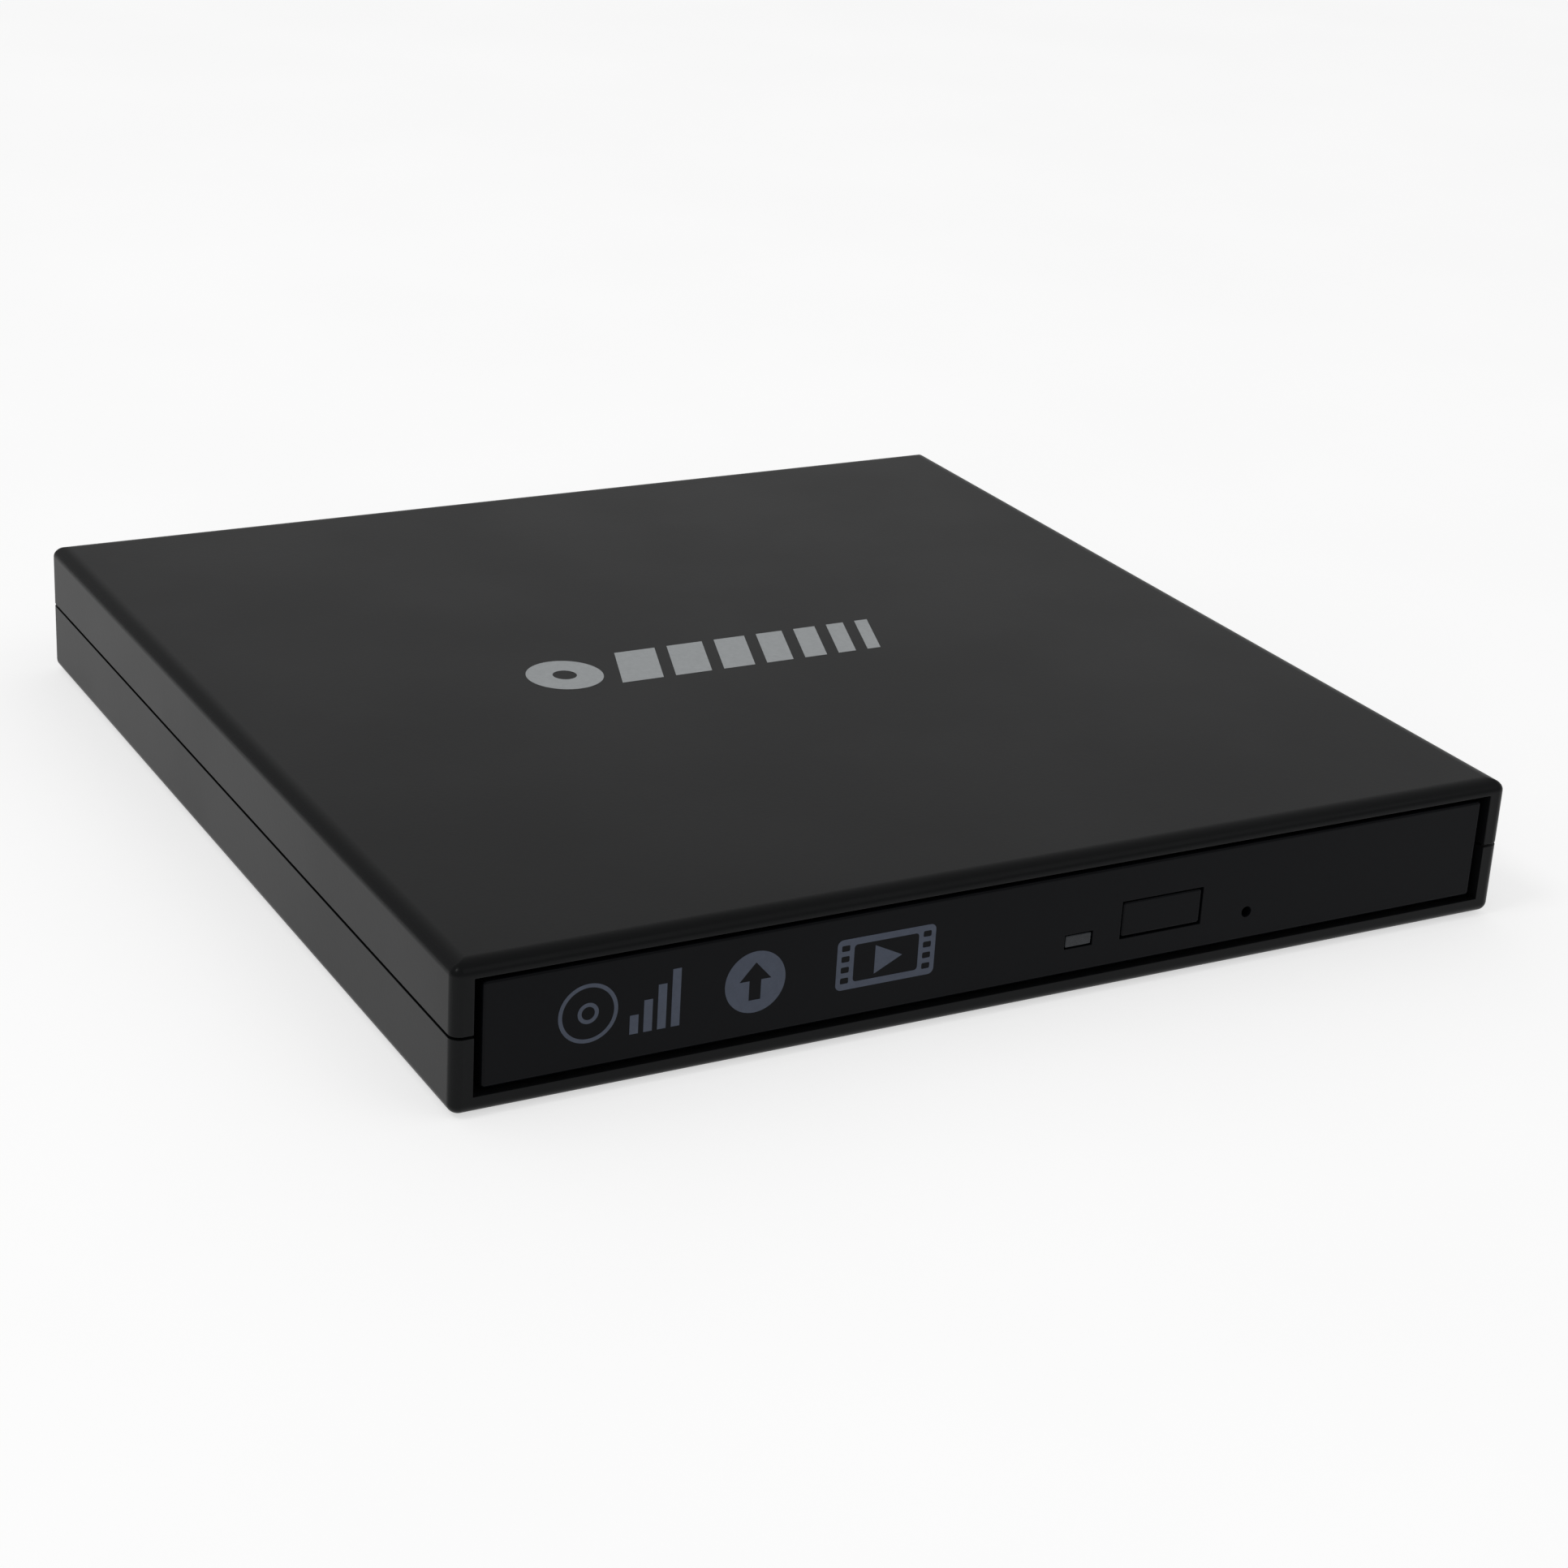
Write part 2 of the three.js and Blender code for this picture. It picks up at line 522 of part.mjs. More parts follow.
// The walls under the deck, with the runners that slide in the rails.
function traySkirt() {
  const { outerX, wall, backY } = SKIRT;
  const z = [SKIRT.bottomZ, TRAY.deckZ + 0.5];
  const outside = box([-outerX, outerX], [TRAY_FRONT_Y, backY], z);
  const inside = box([wall - outerX, outerX - wall], [TRAY_FRONT_Y + 1.2, backY - 1.2], [0, 20]);
  const runners = [-1, 1].map((side) => {
    const x = [side * (outerX - 0.4), side * RUNNER.outerX].sort((a, b) => a - b);
    return box(x, RUNNER.y, RUNNER.z);
  });
  const springStop = box([EJECTOR.x - 3, EJECTOR.x + 3], [10.4, 11.7], z);
  const walls = carve(outside, { cut: [inside] });
  return carve(walls, { add: [...runners, springStop] });
}

// Openings in the skirt for what passes through it.
function skirtCuts() {
  const backWallY = [SKIRT.backY - 2, SKIRT.backY + 1];
  const frontWallY = [TRAY_FRONT_Y - 1, TRAY_FRONT_Y + 2];
  return [
    rod(EJECTOR.boreR, "y", [9, 54], [EJECTOR.x, EJECTOR.z], 14),
    box([LOCK_POST.x - 1.9, LOCK_POST.x + 1.9], backWallY, [0, LOCK_POST.topZ + 0.6]),
    box([-62, -29], [43.4, SKIRT.backY + 1], [0, TRAY.deckZ - 0.05]), // room for the main board
    box([BUTTON.x[0] + 3, BUTTON.x[1] - 3], frontWallY, [7, 9.2]),
    box(LED_WINDOW.x, frontWallY, LED_WINDOW.z),
    rod(0.9, "y", frontWallY, [PINHOLE.x, PINHOLE.z], 12),
  ];
}

const tray = () => carve(trayDeck(), { add: [carve(traySkirt(), { cut: skirtCuts() })] });

function bezel() {
  const { width, height, depth, bottomZ, plate, rim, frontY } = BEZEL;
  const half = width / 2;
  const topZ = bottomZ + height;
  // The panel lies face down while its edge is rounded, then stands up with its face towards -Y.
  const slab = softSlab({ halfX: half, halfY: height / 2, z: [0, depth], cornerR: 0.5, top: [0.4, 0.4] });
  const face = slab.rotateX(Math.PI / 2).translate(0, BEZEL_BACK_Y, bottomZ + height / 2);
  const hollowY = [frontY + plate, BEZEL_BACK_Y + 1];
  const hollow = box([-half + rim, half - rim], hollowY, [bottomZ + rim, topZ - rim]);
  const through = [frontY - 1, BEZEL_BACK_Y + 1];
  return carve(face, {
    cut: [
      hollow,
      box(BUTTON.x, through, BUTTON.z),
      box(LED_WINDOW.x, through, LED_WINDOW.z),
      rod(PINHOLE.radius, "y", through, [PINHOLE.x, PINHOLE.z], 14),
    ],
  });
}

const shrink = ([low, high], by) => [low + by, high - by];

function ejectButton() {
  const y = [BEZEL.frontY, BEZEL.frontY + 2];
  const cap = box(shrink(BUTTON.x, BUTTON.slack), y, shrink(BUTTON.z, BUTTON.slack));
  const flangeY = [BEZEL.frontY + BEZEL.plate + 0.1, BEZEL.frontY + 2.2];
  const flange = box(shrink(BUTTON.x, -0.8), flangeY, shrink(BUTTON.z, -0.6));
  const stem = box([17.6, 20.6], [flangeY[0], -62.9], [7.3, 8.9]);
  return carve(cap, { add: [flange, stem] });
}

// The thin steel plate that closes the tray from below. Its right edge leaves a lane for the lock post.
function trayShield() {
  const shape = outline([[-55, -62], [47.5, -62], [47.5, 50.2], [-28.4, 50.2], [-28.4, 43], [-55, 43]]);
  const windows = [-1, 1].map((side) => {
    return prism(roundedRect([side * 20 - 9, side * 20 + 9], [14, 30], 2), [4, 5], 3);
  });
  return carve(prism(shape, SHIELD_Z), { cut: windows });
}

function trayBodyParts() {
  const board = box([3, 40], [-62.9, -50], [4.95, 5.65]);
  const boardTop = 5.7;
  const switchBox = box([16.6, 21.6], [-62.2, -58.4], [boardTop, 9]);
  const ledBlock = box([6.6, 9.5], [-62.6, -60.4], [boardTop, 8]);
  const pipeX = shrink(LED_WINDOW.x, LED_WINDOW.slack);
  const pipeZ = shrink(LED_WINDOW.z, LED_WINDOW.slack);
  const pipe = box(pipeX, [BEZEL.frontY + 0.05, -62.9], pipeZ);
  const coil = rod(2, "x", [27.5, 38.5], [-37, 7.1], 20);
  const plunger = rod(0.8, "x", [26.5, 41.5], [-37, 7.1], 12);
  const inside = box([27.2, 38.8], [-39.2, -34.8], [5, 10]);
  const yoke = carve(box([26, 40], [-39.7, -34.3], [4.95, 9.3]), { cut: [inside] });
  const solenoid = carve(yoke, { add: [coil, plunger] });
  return group(
    part("tray", tray(), "trayBlack"),
    part("bezel", bezel(), "bezelBlack"),
    part("led_window", pipe, "lightPipe"),
    part("tray_shield", trayShield(), "steel"),
    part("tray_board", board, "boardGreen"),
    part("eject_switch", switchBox, "chipBlack"),
    part("status_led", ledBlock, "whitePlastic"),
    part("solenoid", solenoid, "copper"),
    part("latch_pivot", rod(LATCH.pinR, "z", [4.95, 9], [LATCH.x, LATCH.y], 14), "rodSteel"),
  );
}

// The lever that locks the tray to the post. Its nose stands just clear of the post's lane, as when released.
function latchLever() {
  const shape = new THREE.Shape();
  const r = 2.2;
  shape.absarc(0, 0, r, -0.2, Math.PI * 0.9, false);
  shape.lineTo(-5.2, 2.6);
  shape.lineTo(-5.2, 0.4);
  shape.lineTo(-1.2, -1.9);
  shape.lineTo(0.2, -11.6);
  shape.lineTo(0.2, -14.8);
  shape.lineTo(2.9, -14.8);
  shape.lineTo(2.9, -13.2);
  shape.lineTo(1.6, -12);
  shape.closePath();
  return carve(prism(shape, LATCH.z, 16), { cut: [rod(LATCH.boreR, "z", [0, 12], [0, 0], 16)] });
}

function ejectorRod() {
  const shaft = rod(EJECTOR.radius, "y", [-3, 60.2], [EJECTOR.x, EJECTOR.z], 14);
  const collar = rod(EJECTOR.collarR, "y", [28, 29], [EJECTOR.x, EJECTOR.z], 14);
  return carve(shaft, { add: [collar] });
}

// A coil of wire around the ejector rod, between the tray's stop and the rod's collar.
function ejectorSpring() {
  const turns = 8;
  const stepsPerTurn = 10;
  const points = [];
  for (let i = 0; i <= turns * stepsPerTurn; i += 1) {
    const angle = (i / stepsPerTurn) * 2 * Math.PI;
    const along = 12.3 + (i / (turns * stepsPerTurn)) * 15.2;
    points.push(new THREE.Vector3(1.75 * Math.cos(angle), along, 1.75 * Math.sin(angle)));
  }
  const path = new THREE.CatmullRomCurve3(points);
  const wire = outline([[0.25, 0], [0.08, 0.24], [-0.2, 0.15], [-0.2, -0.15], [0.08, -0.24]]);
  const options = { steps: turns * stepsPerTurn, extrudePath: path, bevelEnabled: false };
  return new THREE.ExtrudeGeometry(wire, options).translate(EJECTOR.x, 0, EJECTOR.z);
}

// ---- The traverse: spindle, sled and lead screw, in the traverse's own frame ----

function traverseFrame() {
  const shape = outline([[-15, -18.6], [44, -18.6], [62.4, -17.6], [62.4, 18], [44, 18.6], [-15, 18.6]]);
  const window = prism(roundedRect([14, 58], [-12.5, 12.5], 2), [4, 6], 3);
  const holders = [-1, 1].flatMap((side) => {
    const y = [side * ROD.y - 1.9, side * ROD.y + 1.9];
    return [[9.9, 12.9], [60.2, 62.2]].map((x) => box(x, y, [5.2, 8.7]));
  });
  const bores = [-1, 1].map((side) => rod(ROD.boreR, "x", [5, 70], [side * ROD.y, ROD.z], 14));
  const screwArm = box([54.9, 56.8], [17.5, 22.8], FRAME_PLATE_Z);
  const screwBlock = box([54.9, 56.8], [18.7, 22.8], [FRAME_PLATE_Z[0], 8.7]);
  const screwBore = rod(SCREW.tipR + 0.3, "x", [50, 60], [SCREW.y, SCREW.z], 12);
  return carve(prism(shape, FRAME_PLATE_Z), {
    add: [...holders, screwArm, screwBlock],
    cut: [window, ...bores, screwBore],
  });
}

// The black plate seen through the tray's floor, with a round hole for the spindle and a slot for the lens.
function pickupCover() {
  const shape = outline([[-17, -22], [41, -22], [62, -9], [62, 9], [41, 22], [-17, 22]]);
  const slot = prism(roundedRect([17.8, 61], [-6.6, 6.6], 1.5), [9, 10], 4);
  const hole = rod(13.4, "z", [9, 10], [0, 0], 40);
  return carve(prism(shape, COVER_PLATE_Z), { cut: [slot, hole] });
}

function spindleBase() {
  const plate = rod(11, "z", [5.6, 6], [0, 0], 32);
  const sleeve = rod(2.2, "z", [5.7, 10.2], [0, 0], 20);
  return carve(plate, { add: [sleeve], cut: [rod(1.1, "z", [6.2, 12], [0, 0], 14)] });
}

// The motor's iron core: a ring with nine teeth.
function stator() {
  const teeth = [];
  for (let i = 0; i < 9; i += 1) {
    const tooth = box([4.5, 10.6], [-1, 1], [6.9, 8.7]);
    teeth.push(tooth.rotateZ((i / 9) * 2 * Math.PI));
  }
  const core = rod(5, "z", [6.9, 8.7], [0, 0], 24);
  return carve(core, { add: teeth, cut: [rod(2.6, "z", [6, 10], [0, 0], 20)] });
}

const CLAW_ANGLES = [0, 1, 2].map((i) => (i * 2 * Math.PI) / 3 + Math.PI / 6);

// The rotor cup, the seat that the disc rests on and the boss that centres it, turned in one.
function turntable() {
  const profile = [
    [0, 6.5], [0.8, 6.5], [0.8, 10.8], [11.7, 10.8], [11.7, 6.6], [12.4, 6.6], [12.4, 11.2], [14.4, 11.2],
    [14.4, 12.2], [8.6, 12.2], [8.6, 12.35], [7.35, 12.35], [7.35, 13.8], [6.7, 14.4], [1.8, 14.4], [1.5, 14],
    [0, 14],
  ];
  const slots = CLAW_ANGLES.map((angle) => box([4.4, 9], [-1.2, 1.2], [12.7, 15]).rotateZ(angle));
  return carve(turned(profile, 48), { cut: slots });
}

function turntablePad() {
  return turned([[9, 12.25], [14.2, 12.25], [14.2, 12.5], [9, 12.5], [9, 12.25]], 40);
}

// A small sprung claw in the boss, modelled pointing along +X.
function clampClaw() {
  return bar([[5.1, 12.9], [7.5, 12.9], [7.75, 13.3], [7.4, 13.9], [5.1, 13.9]], [-0.9, 0.9]);
}

function pickupSled() {
  const { x, halfWidth, z } = SLED;
  const body = prism(
    outline([
      [x[0], -halfWidth], [x[1] - 5, -halfWidth], [x[1], -8],
      [x[1], 8], [x[1] - 5, halfWidth], [x[0], halfWidth],
    ]),
    z,
  );
  const pocket = box([LENS_X - 4.6, LENS_X + 4.6], [-6, 6], [6.3, 10]);
  const bores = [-1, 1].map((side) => rod(ROD.boreR, "x", [0, 40], [side * ROD.y, ROD.z], 14));
  const nut = box([15.8, 19.4], [halfWidth - 0.4, SCREW.y - SCREW.radius - 0.35], [6.4, 8]);
  const laserBlock = box([19, 24], [-13.4, -7.6], [8.6, 9]);
  return carve(body, { add: [nut, laserBlock], cut: [pocket, ...bores] });
}

function lensHolder() {
  const block = box([LENS_X - 4, LENS_X + 4], [-5, 5], [7, 10.4]);
  const eye = rod(2.6, "z", [9.6, 11], [LENS_X, 0], 20);
  return carve(block, { cut: [eye] });
}

function objectiveLens() {
  const profile = [[0, 9.7], [2.3, 9.7], [2.3, 10.5], [1.9, 10.9], [1.1, 11.15], [0, 11.2]];
  return turned(profile, 24).translate(LENS_X, 0, 0);
}

function leadScrew() {
  const thread = rod(SCREW.radius, "x", [SCREW.x[0], 54.4], [SCREW.y, SCREW.z], 16);
  const tip = rod(SCREW.tipR, "x", [54, SCREW.x[1]], [SCREW.y, SCREW.z], 12);
  return carve(thread, { add: [tip] });
}

function sledMotor() {
  const can = rod(1.8, "x", [4, 13], [SCREW.y, SCREW.z], 20);
  const flange = box([12.6, 14], [SCREW.y - 2.1, SCREW.y + 2.1], [5.8, 8.95]);
  return carve(can, { add: [flange] });
}

function traverseParts() {
  const claws = CLAW_ANGLES.map((angle, i) => {
    const claw = part(`clamp_claw_${i + 1}`, clampClaw(), "whitePlastic");
    claw.rotation.z = angle;
    return claw;
  });
  const guideRod = (y) => rod(ROD.radius, "x", ROD.x, [y, ROD.z], 16);
  const made = group(
    part("traverse_frame", traverseFrame(), "darkSteel"),
    part("pickup_cover", pickupCover(), "darkSteel"),
    part("guide_rod_main", guideRod(ROD.y), "rodSteel"),
    part("guide_rod_sub", guideRod(-ROD.y), "rodSteel"),
    part("spindle_base", spindleBase(), "steel"),
    part("spindle_stator", stator(), "copper"),
    part("turntable", turntable(), "darkSteel"),
    part("turntable_pad", turntablePad(), "rubber"),
    ...claws,
    part("pickup_sled", pickupSled(), "steel"),
    part("lens_holder", lensHolder(), "chipBlack"),
    part("objective_lens", objectiveLens(), "glass"),
    part("lead_screw", leadScrew(), "brass"),
    part("sled_motor", sledMotor(), "steel"),
  );
  made.position.set(0, SPINDLE_Y, 0);
  made.rotation.z = TRAVERSE_ANGLE;
  return made;
}

function trayParts() {
  return group(
    trayBodyParts(),
    part("eject_button", ejectButton(), "bezelBlack"),
    part("latch_lever", latchLever(), "whitePlastic", [LATCH.x, LATCH.y, 0]),
    part("ejector_rod", ejectorRod(), "greyPlastic"),
    part("ejector_spring", ejectorSpring(), "rodSteel"),
    traverseParts(),
  );
}

export default group(caseParts(), bridgeParts(), fixedDriveParts(), railParts(), trayParts());
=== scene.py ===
"""Looks for a slim portable optical drive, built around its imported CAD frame.

Shapes are modelled in millimetres in the frame's axes (+Z up, the tray opens towards -Y) and scaled to metres
when a piece is made. Most outer sizes come from the CAD nodes that the pieces stand for.
"""

import json
import math

import bmesh
import bpy
from mathutils import Matrix, Vector

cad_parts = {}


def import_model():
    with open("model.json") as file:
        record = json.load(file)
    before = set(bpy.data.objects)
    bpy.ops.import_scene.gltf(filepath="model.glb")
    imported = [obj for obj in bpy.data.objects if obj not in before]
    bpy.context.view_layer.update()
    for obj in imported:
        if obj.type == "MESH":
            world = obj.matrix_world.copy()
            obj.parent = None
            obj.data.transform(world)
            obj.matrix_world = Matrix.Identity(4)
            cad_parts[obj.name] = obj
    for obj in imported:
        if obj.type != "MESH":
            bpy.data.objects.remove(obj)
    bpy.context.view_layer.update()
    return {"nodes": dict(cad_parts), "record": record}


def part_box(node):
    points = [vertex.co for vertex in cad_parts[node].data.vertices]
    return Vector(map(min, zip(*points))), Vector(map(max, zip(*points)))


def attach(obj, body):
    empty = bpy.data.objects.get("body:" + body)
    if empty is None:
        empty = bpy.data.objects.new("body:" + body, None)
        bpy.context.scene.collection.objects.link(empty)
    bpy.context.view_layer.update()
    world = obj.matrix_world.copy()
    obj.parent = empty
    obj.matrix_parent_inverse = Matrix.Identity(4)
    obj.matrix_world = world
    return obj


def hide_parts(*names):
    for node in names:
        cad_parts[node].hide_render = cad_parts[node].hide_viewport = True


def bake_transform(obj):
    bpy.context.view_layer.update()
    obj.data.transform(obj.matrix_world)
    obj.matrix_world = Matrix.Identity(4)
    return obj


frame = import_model()

MM = 0.001
SCENE = bpy.context.scene
BODIES = frame["record"]["behaviour"]["bodies"]
BODY_OF = {node: body for body, nodes in BODIES.items() for node in nodes}


def limits(node):
    """A CAD node's limits in millimetres, as ((x0, x1), (y0, y1), (z0, z1))."""
    low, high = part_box(node)
    return tuple((low[i] / MM, high[i] / MM) for i in range(3))


def middle(pair):
    return (pair[0] + pair[1]) / 2


def inset(pair, by):
    return (pair[0] + by, pair[1] - by)


def round_limits(node):
    """An upright round node's radius, centre and heights."""
    x, y, z = limits(node)
    return (x[1] - x[0]) / 2, (middle(x), middle(y)), z


# ---- Dimensions that the looks share with the CAD, in millimetres ----

TOP_X, TOP_Y, TOP_Z = limits("top_shell")
BASE_X, BASE_Y, BASE_Z = limits("bottom_shell")
FRONT_X, FRONT_Y, FRONT_Z = limits("bezel")
KEY_X, KEY_Y, KEY_Z = limits("eject_button")
LIGHT_X, LIGHT_Y, LIGHT_Z = limits("led_window")
DECK_X, DECK_Y, DECK_Z = limits("tray")
HUB_X, HUB_Y, _ = limits("turntable")
SPINDLE = (middle(HUB_X), middle(HUB_Y))

SIDE_WALL = 2.4
BACK_WALL = 2.0
CASE_ROOF = 1.7
CASE_FLOOR = 2.0
CASE_CORNER = 1.3
PRINT_THICKNESS = 0.02  # printed marks stand this far off the plastic
FACE_DROP = 0.03  # the roof is this much below the CAD's, so that the print on it stays in the CAD's box

# The traverse's own frame: X runs outwards along the lens's travel and Y across it.
TRAVERSE_TURN = math.radians(230)
LENS_AT = 23.5


# ---- Meshes ----


def cleaned(mesh, shortest=None):
    """Welds a mesh's points and turns its faces outwards. Edges below the shortest length are dissolved."""
    made = bmesh.new()
    made.from_mesh(mesh)
    bmesh.ops.remove_doubles(made, verts=made.verts, dist=1e-5)
    if shortest:
        bmesh.ops.dissolve_degenerate(made, edges=made.edges, dist=shortest)
    bmesh.ops.recalc_face_normals(made, faces=made.faces)
    made.to_mesh(mesh)
    made.free()
    return mesh


def mesh_of(vertices, faces, shortest=None):
    """A mesh whose faces all point outwards."""
    mesh = bpy.data.meshes.new("shape")
    mesh.from_pydata([tuple(v) for v in vertices], [], faces)
    return cleaned(mesh, shortest)


def with_modifier(mesh, kind, **settings):
    """The mesh that one modifier makes of this one."""
    holder = bpy.data.objects.new("holder", mesh)
    SCENE.collection.objects.link(holder)
    modifier = holder.modifiers.new("modifier", kind)
    for key, value in settings.items():
        setattr(modifier, key, value)
    graph = bpy.context.evaluated_depsgraph_get()
    made = bpy.data.meshes.new_from_object(holder.evaluated_get(graph), depsgraph=graph)
    bpy.data.objects.remove(holder)
    return made


def combined(mesh, tools, operation):
    for tool in tools:
        other = bpy.data.objects.new("tool", tool)
        SCENE.collection.objects.link(other)
        mesh = with_modifier(mesh, "BOOLEAN", operation=operation, solver="EXACT", object=other)
        bpy.data.objects.remove(other)
    return mesh


def cut(mesh, *tools):
    return combined(mesh, tools, "DIFFERENCE")


def join(mesh, *tools):
    return combined(mesh, tools, "UNION")


def merged(*meshes):
    """Several meshes in one, left as separate shells."""
    made = bmesh.new()
    for mesh in meshes:
        made.from_mesh(mesh)
    mesh = bpy.data.meshes.new("merged")
    made.to_mesh(mesh)
    made.free()
    return mesh


def bevelled(mesh, width, steps=2, angle=40):
    return with_modifier(
        mesh,
        "BEVEL",
        width=width,
        segments=steps,
        limit_method="ANGLE",
        angle_limit=math.radians(angle),
        use_clamp_overlap=True,
        miter_outer="MITER_SHARP",
    )


def moved(mesh, matrix):
    mesh.transform(matrix)
    return mesh


def stood_up(mesh, place, degrees=90):
    """Turns a shape's +Z to -Y, or to +Y at -90 degrees, and takes its origin to a place."""
    return moved(mesh, Matrix.Translation(place) @ Matrix.Rotation(math.radians(degrees), 4, "X"))


def spun(mesh, degrees):
    """Turns a shape about the upright axis."""
    return moved(mesh, Matrix.Rotation(math.radians(degrees), 4, "Z"))


def on_traverse(mesh):
    """Takes a shape from the traverse's frame to its place in the tray."""
    place = Matrix.Translation((SPINDLE[0], SPINDLE[1], 0)) @ Matrix.Rotation(TRAVERSE_TURN, 4, "Z")
    return moved(mesh, place)


def arc(centre, radius, start, end, steps):
    """Points round an arc, with its angles in degrees."""
    turn = [math.radians(start + (end - start) * i / steps) for i in range(steps + 1)]
    return [(centre[0] + radius * math.cos(a), centre[1] + radius * math.sin(a)) for a in turn]


def circle(centre, radius, steps=64):
    return arc(centre, radius, 0, 360, steps)[:-1]


def rectangle(x, y):
    return [(x[0], y[0]), (x[1], y[0]), (x[1], y[1]), (x[0], y[1])]


def rounded(x, y, radius, steps=8):
    """A rectangle's outline with rounded corners, anticlockwise."""
    corners = [(x[1], y[0], -90), (x[1], y[1], 0), (x[0], y[1], 90), (x[0], y[0], 180)]
    points = []
    for cx, cy, start in corners:
        sx = -1 if cx == x[1] else 1
        sy = -1 if cy == y[1] else 1
        points += arc((cx + sx * radius, cy + sy * radius), radius, start, start + 90, steps)
    return points


def loft(rings):
    """A closed solid through rings of points, from the first to the last."""
    count = len(rings[0])
    vertices = [point for ring in rings for point in ring]
    faces = []
    for level in range(len(rings) - 1):
        for i in range(count):
            a = level * count + i
            b = level * count + (i + 1) % count
            faces.append((a, b, b + count, a + count))
    faces.append(tuple(reversed(range(count))))
    faces.append(tuple(range(len(vertices) - count, len(vertices))))
    return mesh_of(vertices, faces)


def prism(outline, z):
    """An XY outline, raised between two heights."""
    return loft([[(x, y, height) for x, y in outline] for height in z])


def box(x, y, z):
    return prism(rectangle(x, y), z)


def soft_box(x, y, z, width, steps=2):
    return bevelled(box(x, y, z), width, steps)


def bar(outline, y):
    """An XZ outline, drawn out along Y."""
    return loft([[(x, along, z) for x, z in outline] for along in y])


def rod(radius, axis, span, centre, steps=48):
    """A cylinder along an axis. centre is its place on the other two axes, in order."""
    rings = []
    for along in span:
        ring = circle(centre, radius, steps)
        places = {
            "x": [(along, a, b) for a, b in ring],
            "y": [(a, along, b) for a, b in ring],
            "z": [(a, b, along) for a, b in ring],
        }
        rings.append(places[axis])
    return loft(rings)


def turned(profile, steps=96, centre=(0, 0)):
    """A (radius, height) profile turned about Z. It starts and ends on the axis or closes on itself."""
    faces = []
    vertices = []
    for i in range(steps):
        angle = 2 * math.pi * i / steps
        for radius, height in profile:
            x = centre[0] + radius * math.cos(angle)
            y = centre[1] + radius * math.sin(angle)
            vertices.append((x, y, height))
    count = len(profile)
    for i in range(steps):
        for k in range(count - 1):
            a = i * count + k
            b = ((i + 1) % steps) * count + k
            faces.append((a, b, b + 1, a + 1))
    return mesh_of(vertices, faces, 1e-6)


def soft_slab(x, y, z, corner, top=None, bottom=None, corner_steps=10, edge_steps=10):
    """A slab with rounded corners in plan. top and bottom are a rounded edge's (width, height), or None."""
    levels = []
    for i in range(edge_steps + 1):
        angle = math.pi / 2 * i / edge_steps
        if bottom:
            levels.append((bottom[0] * (1 - math.sin(angle)), z[0] + bottom[1] * (1 - math.cos(angle))))
    if not bottom:
        levels.append((0, z[0]))
    if not top:
        levels.append((0, z[1]))
    for i in range(edge_steps + 1):
        angle = math.pi / 2 * i / edge_steps
        if top:
            levels.append((top[0] * (1 - math.cos(angle)), z[1] - top[1] * (1 - math.sin(angle))))
    rings = []
    for inwards, height in levels:
        radius = max(corner - inwards, 0.12)
        outline = rounded(inset(x, inwards), inset(y, inwards), radius, corner_steps)
        rings.append([(px, py, height) for px, py in outline])
    return loft(rings)


def tube(path, radius, steps):
    """A round wire along a list of points."""
    points = [Vector(p) for p in path]
    rings = []
    side = None
    for i, point in enumerate(points):
        ahead = points[min(i + 1, len(points) - 1)] - points[max(i - 1, 0)]
        ahead.normalize()
        if side is None:
            side = ahead.orthogonal().normalized()
        side = (side - ahead * side.dot(ahead)).normalized()
        other = ahead.cross(side)
        ring = []
        for k in range(steps):
            angle = 2 * math.pi * k / steps
            ring.append(point + radius * (side * math.cos(angle) + other * math.sin(angle)))
        rings.append(ring)
    return loft(rings)


def flat_art(outlines, thickness):
    """Flat artwork from nested outlines, every second one a hole, from z = 0 up to its thickness."""
    curve = bpy.data.curves.new("art", "CURVE")
    curve.dimensions = "2D"
    curve.fill_mode = "BOTH"
    curve.extrude = thickness / 2
    for outline in outlines:
        spline = curve.splines.new("POLY")
        spline.points.add(len(outline) - 1)
        spline.use_cyclic_u = True
        for point, (x, y) in zip(spline.points, outline):
            point.co = (x, y, 0, 1)
    holder = bpy.data.objects.new("art", curve)
    SCENE.collection.objects.link(holder)
    graph = bpy.context.evaluated_depsgraph_get()
    mesh = bpy.data.meshes.new_from_object(holder.evaluated_get(graph), depsgraph=graph)
    bpy.data.objects.remove(holder)
    return moved(cleaned(mesh), Matrix.Translation((0, 0, thickness / 2)))


# ---- Materials ----


def linear(hex_color):
    """A colour written as 0xRRGGBB, as linear RGBA."""
    parts = [((hex_color >> shift) & 255) / 255 for shift in (16, 8, 0)]
    return (*[p / 12.92 if p <= 0.04045 else ((p + 0.055) / 1.055) ** 2.4 for p in parts], 1)


def shade(color, scale, lift=0.0):
    """A colour made darker or paler, with its alpha kept at 1."""
    return tuple(min(1, c * scale + lift) for c in color[:3]) + (1,)


